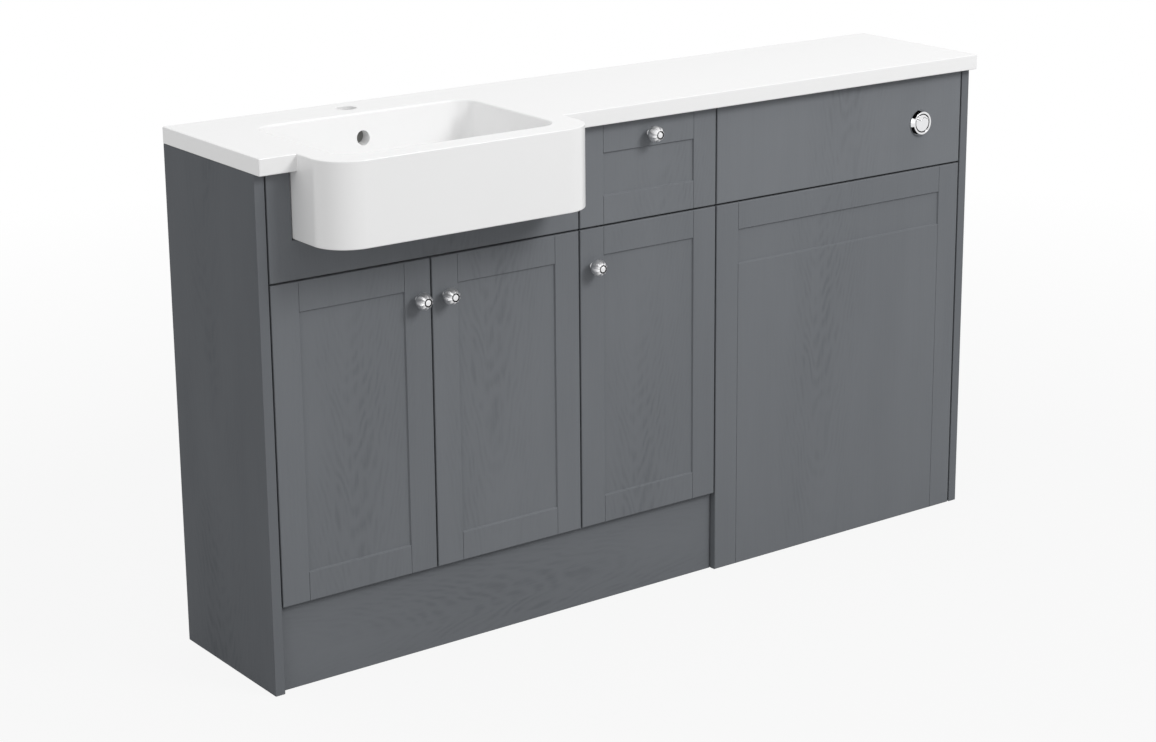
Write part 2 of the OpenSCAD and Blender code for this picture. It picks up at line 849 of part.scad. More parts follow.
// A push disc cut to a plan, with its stem
module push_disc() {
  r = disc_d / 2;
  face = face_y - bezel_proj + 0.5;
  back = face_y + 20;
  at_button() translate([0, back, 0]) rotate([90, 0, 0]) linear_extrude(back - face)
    intersection() {
      circle(r);
      children();
    }
}

module flush_button_full() {
  color("#d5d7d9") push_disc() difference() {
    circle(disc_d);
    small_area(disc_gap);
  }
}

module flush_button_half() {
  color("#d5d7d9") push_disc() small_area(0);
}

// ---------------------------------------------------------------- cistern

module tank_plan(grow) {
  translate([tank_x - grow, tank_y - grow])
    rounded_rect(tank_w + 2 * grow, tank_d + 2 * grow, tank_r + grow);
}

hose_hole_z = tank_top_z - 22;
hose_xs = [tank_cx + 150, tank_cx + 162];

module cistern_tank() {
  color("#eceae4") difference() {
    translate([0, 0, tank_z]) linear_extrude(tank_h) tank_plan(0);
    translate([0, 0, tank_floor_z]) linear_extrude(tank_h) tank_plan(-tank_t);
    translate([tank_cx, tank_cy, tank_z - 1]) cylinder(r = pipe_d / 2 + 5.2, h = tank_t + 2);
    translate([fill_x, tank_cy, tank_z - 1]) cylinder(r = 10.7, h = tank_t + 2);
    for (x = hose_xs) translate([x, 0, hose_hole_z]) y_cyl(hose_r + 2, tank_y - 1, tank_y + tank_t + 1);
  }
}

module cistern_lid() {
  color("#eceae4") {
    translate([0, 0, tank_top_z]) linear_extrude(3) tank_plan(1);
    translate([0, 0, tank_top_z - 8]) linear_extrude(8 + eps) difference() {
      tank_plan(-tank_t - 0.4);
      tank_plan(-tank_t - 3);
    }
  }
}

// Threaded tail and nut below the tank, column and head inside it
module fill_valve() {
  color("#e8e8e6") translate([fill_x, tank_cy, 0]) {
    difference() {
      union() {
        translate([0, 0, tank_z - 40]) cylinder(r = 10.5, h = 40 + tank_t + eps);
        translate([0, 0, tank_z - 12]) cylinder(r = 17, h = 12, $fn = 6);
        translate([0, 0, tank_floor_z]) cylinder(r = 17, h = 8);
        translate([0, 0, tank_floor_z]) cylinder(r = 12, h = tank_h - 80);
        translate([0, 0, tank_floor_z + tank_h - 90]) cylinder(r = 19, h = 34);
      }
      translate([0, 0, tank_z - 41]) cylinder(r = 6, h = tank_h - 60);
    }
  }
}

float_h = 60;
float_z = tank_floor_z + 8.3;

module fill_float() {
  color("#3c6fa3") translate([fill_x, tank_cy, float_z]) difference() {
    cylinder(r = 30, h = float_h);
    translate([0, 0, -1]) cylinder(r = 12.5, h = float_h + 2);
  }
}

seat_z = tank_floor_z + 14;
cage_h = 130;

// Outlet body through the tank floor, its nut, a four-post cage and the air actuator on top
module flush_valve() {
  out_r = pipe_d / 2 + 5;
  bore_r = pipe_d / 2 - 3;
  color("#e8e8e6") translate([tank_cx, tank_cy, 0]) {
    difference() {
      union() {
        translate([0, 0, tank_z - 34]) cylinder(r = out_r, h = 34 + tank_t + 1);
        translate([0, 0, tank_z - 14]) cylinder(r = out_r + 8, h = 14, $fn = 8);
        translate([0, 0, tank_floor_z]) cylinder(r = out_r + 9, h = seat_z - tank_floor_z);
      }
      translate([0, 0, tank_z - 35]) cylinder(r = bore_r, h = 80);
      translate([0, 0, tank_z - 35]) cylinder(r = pipe_d / 2 + 0.2, h = 25);
    }
    for (a = [45 : 90 : 315]) rotate(a) translate([out_r + 5, 0, seat_z - eps])
      cylinder(r = 2.5, h = cage_h + 2 * eps, $fn = 24);
    translate([0, 0, seat_z + cage_h]) difference() {
      union() {
        cylinder(r = out_r + 9, h = 8);
        translate([26, 0, 8 - eps]) cylinder(r = 13, h = 40);
        for (i = [0, 1]) translate([valve_spigot_x(i) - tank_cx, 0, 48 - 2 * eps])
          cylinder(r = spigot_r, h = spigot_l - 0.5);
      }
      translate([0, 0, -1]) cylinder(r = 12.5, h = 60);
    }
  }
}

// Seal disc on the seat with the overflow tube standing in it
module flush_piston() {
  color("#3c6fa3") translate([tank_cx, tank_cy, seat_z + 0.2]) difference() {
    union() {
      cylinder(r = pipe_d / 2 + 3, h = 5);
      cylinder(r = 12, h = tank_h - 90);
    }
    translate([0, 0, -1]) cylinder(r = 10, h = tank_h);
  }
}

// Straight fall from the cistern, then a bend to the front
module flush_pipe() {
  bend = 50;
  end = 40;
  wall = 2;
  color("#e8e8e6") translate([tank_cx, tank_cy, outlet_z]) {
    translate([0, 0, bend]) linear_extrude(tank_z - 10 - outlet_z - bend) pipe_ring(wall);
    translate([0, -bend, bend]) rotate([0, 90, 0]) rotate_extrude(angle = 90)
      translate([bend, 0]) pipe_ring(wall);
    translate([0, -bend, 0]) rotate([90, 0, 0]) linear_extrude(end) pipe_ring(wall);
  }
}

module pipe_ring(wall) {
  difference() {
    circle(d = pipe_d);
    circle(d = pipe_d - 2 * wall);
  }
}

// Two air hoses from the button to the actuator, each pushed over a spigot at both ends
function button_spigot_x(i) = button_x + (i == 0 ? -spigot_off : spigot_off);
function valve_spigot_x(i) = tank_cx + (i == 0 ? 20 : 32);
valve_spigot_z = seat_z + cage_h + 48;
sleeve_l = spigot_l + 2;

function hose_path(i) =
  let (bx = button_spigot_x(i), by = face_y + barrel_back + sleeve_l, hx = hose_xs[i],
       ax = valve_spigot_x(i), az = valve_spigot_z + sleeve_l, up = (1 - i) * 12)
  [[bx, by - 1, button_z], [bx, by + 8, button_z],
   [(bx + hx) / 2, (by + tank_y) / 2, (button_z + hose_hole_z) / 2],
   [hx, tank_y - 10, hose_hole_z], [hx, tank_y + 10, hose_hole_z],
   [hx - 30, tank_y + 24, hose_hole_z - 10 + up], [ax + 52, tank_y + 32, az + 60 + up],
   [ax + 10, tank_cy - 14, az + 34 + up], [ax, tank_cy, az + 6], [ax, tank_cy, az - 1]];

// A smooth curve through the points, n steps a span
function curve(p, n) = [for (i = [0 : len(p) - 2], k = [0 : n - 1])
  let (a = p[max(i - 1, 0)], b = p[i], c = p[i + 1], d = p[min(i + 2, len(p) - 1)], t = k / n)
  0.5 * ((2 * b) + (c - a) * t + (2 * a - 5 * b + 4 * c - d) * t * t
    + (3 * b - a - 3 * c + d) * t * t * t), p[len(p) - 1]];

function unit(v) = v / norm(v);

// Tangents along a path, and a side direction carried along it without twist
function tangent(p, i) = unit(p[min(i + 1, len(p) - 1)] - p[max(i - 1, 0)]);
function carried(p, i, u) = i >= len(p) ? [] :
  let (t = tangent(p, i), w = unit(u - (u * t) * t)) concat([w], carried(p, i + 1, w));

// A round tube along a path, eight-sided
module hose(path) {
  sides = 8;
  n = len(path);
  us = carried(path, 0, [0, 0, 1]);
  rings = [for (i = [0 : n - 1]) let (t = tangent(path, i), u = us[i], v = cross(t, u))
    for (k = [0 : sides - 1])
      path[i] + hose_r * (cos(k * 360 / sides) * u + sin(k * 360 / sides) * v)];
  side_faces = [for (i = [0 : n - 2], k = [0 : sides - 1])
    let (a = i * sides + k, b = i * sides + (k + 1) % sides)
    each [[a, a + sides, b + sides], [a, b + sides, b]]];
  polyhedron(rings, concat([[for (k = [0 : sides - 1]) k]], side_faces,
    [[for (k = [sides - 1 : -1 : 0]) (n - 1) * sides + k]]));
}

// The end of a hose, stretched over a spigot, a hair off the face behind it
module hose_sleeve() {
  difference() {
    translate([0, 0, 0.3]) cylinder(r = hose_r + 0.6, h = sleeve_l - 0.3, $fn = 32);
    translate([0, 0, -1]) cylinder(r = spigot_r + 0.1, h = spigot_l + 1, $fn = 32);
  }
}

module flush_hoses() {
  color("#4a4d50") for (i = [0, 1]) {
    hose(curve(hose_path(i), 3));
    translate([button_spigot_x(i), face_y + barrel_back, button_z]) rotate([-90, 0, 0])
      hose_sleeve();
    translate([valve_spigot_x(i), tank_cy, valve_spigot_z]) hose_sleeve();
  }
}

// ---------------------------------------------------------------- brackets

// An angle bracket: one leg on a side's inner face, one under the top
module top_bracket(x, y, s) {
  leg = 20;
  translate([x, y - leg / 2, unit_h]) mirror([s, 0, 0]) {
    translate([0, 0, -leg]) cube([bracket_t, leg, leg]);
    translate([0, 0, -bracket_t]) cube([leg, leg, bracket_t]);
  }
}

module fixing_brackets() {
  color("silver") {
    for (u = [[basin_x, basin_unit_w], [drawer_x, drawer_unit_w], [wc_x, wc_unit_w]],
         y = [carcass_y + rail_d + 24, back_y - board_t - 14]) {
      top_bracket(u[0] + board_t, y, 0);
      top_bracket(u[0] + u[1] - board_t, y, 1);
    }
    for (x = [tank_x + 30, tank_x + tank_w - 30]) {
      board(x - 15, tank_y + 40, tank_z - bracket_t, 30, back_y - board_t - tank_y - 40, bracket_t);
      board(x - 15, back_y - board_t - bracket_t, tank_z - 44, 30, bracket_t, 44);
    }
  }
}

end_panel_left();
end_panel_right();
basin_top();
basin_unit_sides();
basin_unit_base();
basin_unit_rails();
basin_unit_shelf();
basin_fascia();
drawer_unit_sides();
drawer_unit_base();
drawer_unit_back();
drawer_unit_rails();
drawer_unit_shelf();
wc_unit_sides();
wc_unit_front_rails();
wc_unit_rear_rails();
wc_access_panel();
wc_front_panel();
plinth();
adjustable_legs();
plinth_clips();
shelf_pins();
hinge_arms();
hinge_plates();
runner_outer();
runner_middle();
runner_inner();
door_left();
knob_left();
knob_screw_left();
hinge_cups_left();
door_right();
knob_right();
knob_screw_right();
hinge_cups_right();
door_narrow();
knob_narrow();
knob_screw_narrow();
hinge_cups_narrow();
drawer_front();
knob_drawer();
knob_screw_drawer();
drawer_box_walls();
drawer_box_base();
flush_bezel();
flush_nut();
flush_button_full();
flush_button_half();
flush_hoses();
cistern_tank();
cistern_lid();
fixing_brackets();
fill_valve();
fill_float();
flush_valve();
flush_piston();
flush_pipe();
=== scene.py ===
import json
from math import pi

import bpy
import numpy as np
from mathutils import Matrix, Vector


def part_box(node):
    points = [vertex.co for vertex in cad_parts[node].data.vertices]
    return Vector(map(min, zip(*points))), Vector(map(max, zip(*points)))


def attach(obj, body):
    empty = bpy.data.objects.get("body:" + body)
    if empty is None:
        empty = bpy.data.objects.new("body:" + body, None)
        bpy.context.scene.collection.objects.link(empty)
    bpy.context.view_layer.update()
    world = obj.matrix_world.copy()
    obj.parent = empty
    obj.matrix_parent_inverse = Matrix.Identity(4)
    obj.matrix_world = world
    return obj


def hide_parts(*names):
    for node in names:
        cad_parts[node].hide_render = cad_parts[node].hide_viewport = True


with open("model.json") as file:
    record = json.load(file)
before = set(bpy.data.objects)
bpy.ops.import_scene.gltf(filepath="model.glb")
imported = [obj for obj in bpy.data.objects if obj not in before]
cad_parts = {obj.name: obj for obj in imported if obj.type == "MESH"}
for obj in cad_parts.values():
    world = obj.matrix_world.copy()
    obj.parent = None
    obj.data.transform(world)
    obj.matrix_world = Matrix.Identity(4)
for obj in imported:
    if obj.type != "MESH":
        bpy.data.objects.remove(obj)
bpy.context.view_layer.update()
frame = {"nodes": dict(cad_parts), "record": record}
nodes = frame["nodes"]
scene = bpy.context.scene
mm = 0.001
print("frame loaded,", len(nodes), "nodes")

cameraView = {
    "place": (-2.57696, -3.43593, 1.70212),
    "pitchDown": 0.2642,
    "yaw": 0.6593,
    "lens": 77.82,
    "sensor": 36,
    "shiftX": -0.0686,
    "shiftY": -0.07,
    "clipEnd": 50,
}


def placeCamera(view):
    # angles in radians: pitch down from level, and yaw to the right of the view along +Y
    data = bpy.data.cameras.new("runCamera")
    data.sensor_width = view["sensor"]
    data.lens = view["lens"]
    data.shift_x = view["shiftX"]
    data.shift_y = view["shiftY"]
    data.clip_end = view["clipEnd"]
    camera = bpy.data.objects.new("runCamera", data)
    camera.location = view["place"]
    camera.rotation_euler = (pi / 2 - view["pitchDown"], 0, -view["yaw"])
    scene.collection.objects.link(camera)
    scene.camera = camera


placeCamera(cameraView)
print("camera placed")

# Route of each air hose, in mm: from its spigot on the flush button, through the cistern's front
# wall, and down onto its spigot on the flush valve
hoseRoutes = {
    "flush-hose-half": [(635, -39.7, 779.25), (635, -27, 779.25), (635, -18, 779.25), (617.5, 12, 796.125),
                        (600, 40, 813), (600, 60, 813), (570, 74, 815), (522, 82, 777), (480, 106, 751),
                        (470, 120, 711), (470, 120, 704), (470, 120, 691.3)],
    "flush-hose-full": [(649, -39.7, 779.25), (649, -27, 779.25), (649, -18, 779.25), (630.5, 12, 796.125),
                        (612, 40, 813), (612, 60, 813), (582, 74, 803), (534, 82, 765), (492, 106, 739),
                        (482, 120, 711), (482, 120, 704), (482, 120, 691.3)],
}
hoseShape = {
    "radius": 3 * mm, "sleeveRadius": 3.6 * mm, "sleeveLength": 13.7 * mm, "sleeveTaper": 2 * mm,
    "boreRadius": 2.5 * mm, "boreDepth": 12 * mm, "boreFlare": 0.3 * mm, "edge": 0.4 * mm,
    "spanSteps": 9, "sides": 24, "lipRows": 4, "taperRows": 5, "plainRows": 110,
}


def smoothRoute(points, steps):
    # Catmull-Rom: on each span a cubic through both ends, whose slope at a point is half the way
    # from the point before it to the point after it. The first and the last span are straight, and
    # the shares say where along them a point stands.
    firstShares, lastShares = (0, 0.4), (0, 0.5, 1)
    points = np.array(points, float) * mm
    before, here, after = points[:-3], points[1:-2], points[2:-1]
    beyond = points[3:]
    t = (np.arange(steps) / steps)[None, :, None]
    a, b, c, d = (p[:, None, :] for p in (before, here, after, beyond))
    square, cube = 2 * a - 5 * b + 4 * c - d, 3 * b - a - 3 * c + d
    curve = 0.5 * (2 * b + (c - a) * t + square * t ** 2 + cube * t ** 3)
    ahead = [points[:1] + (points[1] - points[0]) * share for share in firstShares]
    behind = [points[-2:-1] + (points[-1] - points[-2]) * share for share in lastShares]
    return np.concatenate([*ahead, curve.reshape(-1, 3), *behind])


def alongPath(path, wanted):
    # points at the wanted distances along a path, with the path's direction there, which is taken
    # between two points half a millimetre before and after
    reach = 0.5 * mm
    steps = np.linalg.norm(np.diff(path, axis=0), axis=1)
    run = np.concatenate([[0], np.cumsum(steps)])
    at = np.stack([np.interp(wanted, run, path[:, k]) for k in range(3)], axis=-1)
    ahead = np.stack([np.interp(wanted + reach, run, path[:, k]) for k in range(3)], axis=-1)
    behind = np.stack([np.interp(wanted - reach, run, path[:, k]) for k in range(3)], axis=-1)
    way = ahead - behind
    return at, way / np.linalg.norm(way, axis=1)[:, None]


def tubeRings(path, distances, radii, sides):
    # Point = path + radius * (cos a * side + sin a * up), where side and up stand square to the
    # path and turn with it without twist
    middle, way = alongPath(path, distances)
    side = np.zeros_like(way)
    last = np.array([1.0, 0, 0])
    for row, forward in enumerate(way):
        last = last - (last @ forward) * forward
        last = last / np.linalg.norm(last)
        side[row] = last
    up = np.cross(way, side)
    a = (np.arange(sides) * 2 * pi / sides)[None, :, None]
    return middle[:, None] + radii[:, None, None] * (np.cos(a) * side[:, None] + np.sin(a) * up[:, None])


def screenColour(r, g, b):
    # a colour picked on screen, 0 to 255, as the linear colour that a shader takes: the sRGB curve
    c = np.array([r, g, b]) / 255
    c = np.where(c <= 0.04045, c / 12.92, ((c + 0.055) / 1.055) ** 2.4)
    return tuple(float(v) for v in c) + (1.0,)


def startMaterial(name, sockets):
    # a new Principled material with its plain values set on the shader itself
    material = bpy.data.materials.new(name)
    material.use_nodes = True
    tree = material.node_tree
    shader = tree.nodes["Principled BSDF"]
    for socket, value in sockets.items():
        shader.inputs[socket].default_value = value
    return material, tree, shader


def addNode(tree, kind, **settings):
    node = tree.nodes.new(kind)
    for key, value in settings.items():
        setattr(node, key, value)
    return node


def addMath(tree, operation, a, b=None):
    # a Math node whose inputs are numbers or other sockets
    node = addNode(tree, "ShaderNodeMath", operation=operation)
    for slot, value in enumerate((a, b)):
        if isinstance(value, (int, float)):
            node.inputs[slot].default_value = value
        elif value is not None:
            tree.links.new(value, node.inputs[slot])
    return node.outputs[0]


def addBlend(tree, factor):
    # a colour mix node: its two colour inputs and its colour output
    node = addNode(tree, "ShaderNodeMix", data_type="RGBA")
    tree.links.new(factor, node.inputs["Factor"])
    low, high = [socket for socket in node.inputs if socket.type == "RGBA"]
    result = [socket for socket in node.outputs if socket.type == "RGBA"][0]
    return low, high, result


def addMix(tree, factor, lowColour, highColour):
    # a colour between two plain ones
    low, high, result = addBlend(tree, factor)
    low.default_value = lowColour
    high.default_value = highColour
    return result


def addPaintedShadeAndEdge(tree, colour, other):
    # the other colour takes over where the piece's own attribute for painted shade and plain edges is 1:
    # painted shade in the knobs' grooves and on the button discs' step floors, a plain grey on the end
    # panels' front edges
    mask = addNode(tree, "ShaderNodeAttribute", attribute_name="paintedShadeAndEdge")
    low, high, result = addBlend(tree, mask.outputs["Fac"])
    tree.links.new(colour, low)
    high.default_value = other
    return result


def addRange(tree, value, fromLow, fromHigh, toLow, toHigh):
    node = addNode(tree, "ShaderNodeMapRange")
    tree.links.new(value, node.inputs["Value"])
    limits = {"From Min": fromLow, "From Max": fromHigh, "To Min": toLow, "To Max": toHigh}
    for socket, number in limits.items():
        node.inputs[socket].default_value = number
    return node.outputs["Result"]


def addBump(tree, shader, height, depth):
    # Height is in units of depth, which is in metres
    bump = addNode(tree, "ShaderNodeBump")
    bump.inputs["Distance"].default_value = depth
    tree.links.new(height, bump.inputs["Height"])
    tree.links.new(bump.outputs["Normal"], shader.inputs["Normal"])


def addPlace(tree, centre=(0, 0, 0), turn=(0, 0, 0)):
    # object coordinates measured from a centre, then turned
    coordinates = addNode(tree, "ShaderNodeTexCoord")
    moved = addNode(tree, "ShaderNodeMapping")
    moved.inputs["Location"].default_value = [-c for c in centre]
    tree.links.new(coordinates.outputs["Object"], moved.inputs["Vector"])
    turned = addNode(tree, "ShaderNodeMapping")
    turned.inputs["Rotation"].default_value = turn
    tree.links.new(moved.outputs["Vector"], turned.inputs["Vector"])
    return turned.outputs["Vector"]


def startGroup(name, numbers, outputs):
    # a shader node group with a Vector input, named number inputs and number outputs
    tree = bpy.data.node_groups.new(name, "ShaderNodeTree")
    tree.interface.new_socket("Vector", in_out="INPUT", socket_type="NodeSocketVector")
    for label, value in numbers.items():
        socket = tree.interface.new_socket(label, in_out="INPUT", socket_type="NodeSocketFloat")
        socket.default_value = value
    for label in outputs:
        tree.interface.new_socket(label, in_out="OUTPUT", socket_type="NodeSocketFloat")
    return tree, tree.nodes.new("NodeGroupInput"), tree.nodes.new("NodeGroupOutput")


def useGroup(tree, group, vector, **numbers):
    # a group's node, fed with a vector and with this material's own numbers
    node = addNode(tree, "ShaderNodeGroup", node_tree=group)
    tree.links.new(vector, node.inputs["Vector"])
    for label, value in numbers.items():
        node.inputs[label].default_value = value
    return node.outputs


def addNoise(tree, vector, scale, detail, roughness):
    node = addNode(tree, "ShaderNodeTexNoise")
    tree.links.new(vector, node.inputs["Vector"])
    node.inputs["Scale"].default_value = scale
    node.inputs["Detail"].default_value = detail
    node.inputs["Roughness"].default_value = roughness
    return node.outputs["Fac"]


def stretch(tree, vector, scale):
    node = addNode(tree, "ShaderNodeVectorMath", operation="MULTIPLY")
    tree.links.new(vector, node.inputs[0])
    node.inputs[1].default_value = scale
    return node.outputs["Vector"]


# Each noise has its scale and its share of that scale along Z, so that it is drawn out there. Each
# range says from what values and to what values a noise, or the distance from the pith, is spread.
ashShape = {
    "wander": (7, 0.35), "ripple": (38, 0.3), "patch": (8, 0.25), "break": (95, 0.22), "pore": (420, 0.018),
    "patchRange": (0.38, 0.62, 0.1, 1), "breakRange": (0.38, 0.58, 0.15, 1), "poreRange": (0.42, 0.7, 0, 1),
    "fadeRange": (0.055, 0.13, 1, 0.15),
}


def buildAshGrain(shape):
    # Growth rings are cones round the pith, which runs up Z: ring number = (distance from the
    # pith - taper * height + slow wander + quick ripple) / spacing, shaded by its sine. They fade
    # away from the pith and where a broad noise is low, which is put out as patches, and a fine
    # noise breaks them up. Pores are noise drawn out along Z.
    numbers = {"Spacing": 0.0068, "Taper": 0.16, "Wander": 0.05, "Ripple": 0.012}
    tree, inputs, outputs = startGroup("ashGrain", numbers, ("Rings", "Pores", "Patches"))
    vector = inputs.outputs["Vector"]

    def drawnNoise(label, detail, roughness=0.55):
        scale, flat = shape[label]
        return addNoise(tree, stretch(tree, vector, (1, 1, flat)), scale, detail, roughness)

    apart = addNode(tree, "ShaderNodeSeparateXYZ")
    tree.links.new(vector, apart.inputs["Vector"])
    x, y, z = apart.outputs
    across = addMath(tree, "ADD", addMath(tree, "MULTIPLY", x, x), addMath(tree, "MULTIPLY", y, y))
    radius = addMath(tree, "SQRT", across)
    rise = addMath(tree, "MULTIPLY", z, inputs.outputs["Taper"])
    sway = addMath(tree, "SUBTRACT", radius, rise)
    for label in ("wander", "ripple"):
        wave = addMath(tree, "SUBTRACT", drawnNoise(label, 2), 0.5)
        sway = addMath(tree, "ADD", sway, addMath(tree, "MULTIPLY", wave, inputs.outputs[label.title()]))
    ring = addMath(tree, "DIVIDE", sway, inputs.outputs["Spacing"])
    lift = addMath(tree, "SINE", addMath(tree, "MULTIPLY", ring, 2 * pi))
    patches = drawnNoise("patch", 2)
    clear = addRange(tree, patches, *shape["patchRange"])
    broken = addRange(tree, drawnNoise("break", 1), *shape["breakRange"])
    near = addRange(tree, radius, *shape["fadeRange"])
    rings = addRange(tree, lift, -1, 1, 0, 1)
    for share in (clear, broken, near):
        rings = addMath(tree, "MULTIPLY", rings, share)
    tree.links.new(rings, outputs.inputs["Rings"])
    pores = drawnNoise("pore", 2, 0.6)
    tree.links.new(addRange(tree, pores, *shape["poreRange"]), outputs.inputs["Pores"])
    tree.links.new(patches, outputs.inputs["Patches"])
    return tree


def buildFineMottle():
    # Two sizes of even noise: a broad cloud for colour and gloss, and a fine tooth for the surface
    tree, inputs, outputs = startGroup("fineMottle", {"Broad": 12.0, "Fine": 900.0}, ("Cloud", "Tooth"))
    for label, size in (("Cloud", "Broad"), ("Tooth", "Fine")):
        noise = addNode(tree, "ShaderNodeTexNoise")
        noise.inputs["Detail"].default_value = 3
        tree.links.new(inputs.outputs["Vector"], noise.inputs["Vector"])
        tree.links.new(inputs.outputs[size], noise.inputs["Scale"])
        tree.links.new(noise.outputs["Fac"], outputs.inputs[label])
    return tree


ashGrain = buildAshGrain(ashShape)
fineMottle = buildFineMottle()
print("shader groups built")

foilFinish = {
    "dark": (105, 108, 112),
    "light": (117, 120, 124),
    "roughness": (0.5, 0.64),
    "grainDepth": 0.00008,
    "ringShare": 0.5, "poreShare": 0.25, "patchShare": 0.25,
    "poreLeast": 0.4, "poreInRings": 0.6, "patchRange": (0.35, 0.65, 0, 1),
    "plainEdgeGrey": (109, 112, 116),
}


def makeGreyFoil(name, centre, turn=(0, 0, 0), tone=0):
    # matt grey foil with an embossed ash grain, its pith at centre; tone lifts both its greys
    material, tree, shader = startMaterial(name, {"Specular IOR Level": 0.05})
    grain = useGroup(tree, ashGrain, addPlace(tree, centre, turn))
    # the pores show most where the rings do
    inRings = addMath(tree, "MULTIPLY", grain["Rings"], foilFinish["poreInRings"])
    pores = addMath(tree, "MULTIPLY", grain["Pores"], addMath(tree, "ADD", inRings, foilFinish["poreLeast"]))
    rings = addMath(tree, "MULTIPLY", grain["Rings"], foilFinish["ringShare"])
    lines = addMath(tree, "ADD", rings, addMath(tree, "MULTIPLY", pores, foilFinish["poreShare"]))
    patches = addRange(tree, grain["Patches"], *foilFinish["patchRange"])
    shade = addMath(tree, "ADD", lines, addMath(tree, "MULTIPLY", patches, foilFinish["patchShare"]))
    light, dark = (screenColour(*(v + tone for v in foilFinish[end])) for end in ("light", "dark"))
    # the front edge takes the plain grey, while the left panel's side face carries painted shade through its
    # low tone
    colour = addPaintedShadeAndEdge(tree, addMix(tree, shade, light, dark), screenColour(*foilFinish["plainEdgeGrey"]))
    tree.links.new(colour, shader.inputs["Base Color"])
    tree.links.new(addRange(tree, shade, 0, 1, *foilFinish["roughness"]), shader.inputs["Roughness"])
    addBump(tree, shader, addMath(tree, "SUBTRACT", 1.0, pores), foilFinish["grainDepth"])
    return material


cloudSpan = (0.3, 0.7)   # the values that nearly all of a mottle's cloud has


def makeMottled(name, look):
    # an even material: colour between two near shades, gloss that varies a little, a fine tooth
    sockets = {"Metallic": look.get("metallic", 0.0), "Coat Weight": look.get("coat", 0.0)}
    material, tree, shader = startMaterial(name, sockets)
    mottle = useGroup(tree, fineMottle, addPlace(tree), Broad=look["broad"], Fine=look["fine"])
    colour = addMix(tree, mottle["Cloud"], screenColour(*look["dark"]), screenColour(*look["light"]))
    # the look's second colour, where the piece's attribute asks for it, is painted shade
    if "paintedShadeAndEdge" in look:
        colour = addPaintedShadeAndEdge(tree, colour, screenColour(*look["paintedShadeAndEdge"]))
    tree.links.new(colour, shader.inputs["Base Color"])
    gloss = addRange(tree, mottle["Cloud"], *cloudSpan, *look["roughness"])
    tree.links.new(gloss, shader.inputs["Roughness"])
    addBump(tree, shader, mottle["Tooth"], look["tooth"])
    return material


# pewter's and chrome's near-black second colour is painted shade, for the knobs' grooves and the button
# discs' step floors
evenLooks = {
    "glossWhite": {"dark": (240, 240, 240), "light": (242, 242, 242), "broad": 6, "fine": 40,
                   "roughness": (0.29, 0.32), "tooth": 0.00001, "coat": 0.25},
    "pewter": {"dark": (222, 222, 223), "light": (240, 240, 241), "broad": 160, "fine": 1500,
               "roughness": (0.36, 0.46), "tooth": 0.00001, "metallic": 1.0, "coat": 0.5,
               "paintedShadeAndEdge": (6, 6, 7)},
    "chrome": {"dark": (226, 226, 228), "light": (236, 236, 237), "broad": 60, "fine": 1200,
               "roughness": (0.03, 0.07), "tooth": 0.000001, "metallic": 1.0, "paintedShadeAndEdge": (8, 8, 8)},
    "carcassBoard": {"dark": (216, 216, 213), "light": (224, 224, 221), "broad": 20, "fine": 1600,
                     "roughness": (0.4, 0.55), "tooth": 0.00003},
    "drawerBoard": {"dark": (226, 224, 218), "light": (234, 232, 227), "broad": 24, "fine": 1500,
                    "roughness": (0.38, 0.5), "tooth": 0.00003},
    "zincSteel": {"dark": (176, 180, 184), "light": (206, 208, 211), "broad": 240, "fine": 2600,
                  "roughness": (0.22, 0.42), "tooth": 0.00001, "metallic": 1.0},
    "blackPlastic": {"dark": (30, 31, 33), "light": (40, 41, 43), "broad": 50, "fine": 2200,
                     "roughness": (0.4, 0.58), "tooth": 0.00004},
    "whitePlastic": {"dark": (226, 226, 223), "light": (236, 236, 234), "broad": 40, "fine": 1800,
                     "roughness": (0.3, 0.42), "tooth": 0.00002},
    "cisternPlastic": {"dark": (226, 224, 216), "light": (236, 234, 228), "broad": 14, "fine": 1100,
                       "roughness": (0.38, 0.55), "tooth": 0.00005},
    "bluePlastic": {"dark": (52, 100, 152), "light": (64, 114, 168), "broad": 40, "fine": 1800,
                    "roughness": (0.3, 0.42), "tooth": 0.00002},
    "hoseRubber": {"dark": (66, 69, 72), "light": (80, 83, 86), "broad": 60, "fine": 1800,
                   "roughness": (0.5, 0.65), "tooth": 0.00003},
}
even = {name: makeMottled(name, look) for name, look in evenLooks.items()}
lookOfSlot = {
    "white_cast": "glossWhite", "carcass_board": "carcassBoard", "drawer_board": "drawerBoard",
    "pewter": "pewter", "chrome": "chrome", "zinc_steel": "zincSteel", "black_plastic": "blackPlastic",
    "white_plastic": "whitePlastic", "cistern_plastic": "cisternPlastic", "blue_plastic": "bluePlastic",
    "hose_rubber": "hoseRubber",
}

# where the pith of each grey panel's grain lies, how the grain is turned, and the panel's tone
foilGrain = {
    # the left end panel's low tone is painted shade on its side face
    "end_panel_left": ((-0.70, 0.09, 0.2), (0, 0, 0), -19),
    "end_panel_right": ((0.70, 0.05, 0.3), (0, 0, 0), 2),
    "basin_fascia": ((-0.44, -0.02, 0.6), (0, 0, 0), 2),
    "wc_access_panel": ((0.46, -0.03, 0.9), (0, 0, 0), 5),
    "wc_front_panel": ((0.40, -0.03, 0.4), (0, 0, 0)),
    "plinth": ((-0.3, -0.02, 0.06), (0, pi / 2, 0), -3),
    "door_left": ((-0.60, -0.03, 0.35), (0, 0, 0)),
    "door_right": ((-0.33, -0.03, 0.55), (0, 0, 0), 2),
    "door_narrow": ((-0.02, -0.03, 0.2), (0, 0, 0)),
    "drawer_front": ((0.03, -0.03, 0.5), (0, 0, 0), 4),
}
foil = {name: makeGreyFoil("greyFoil_" + name, *grain) for name, grain in foilGrain.items()}
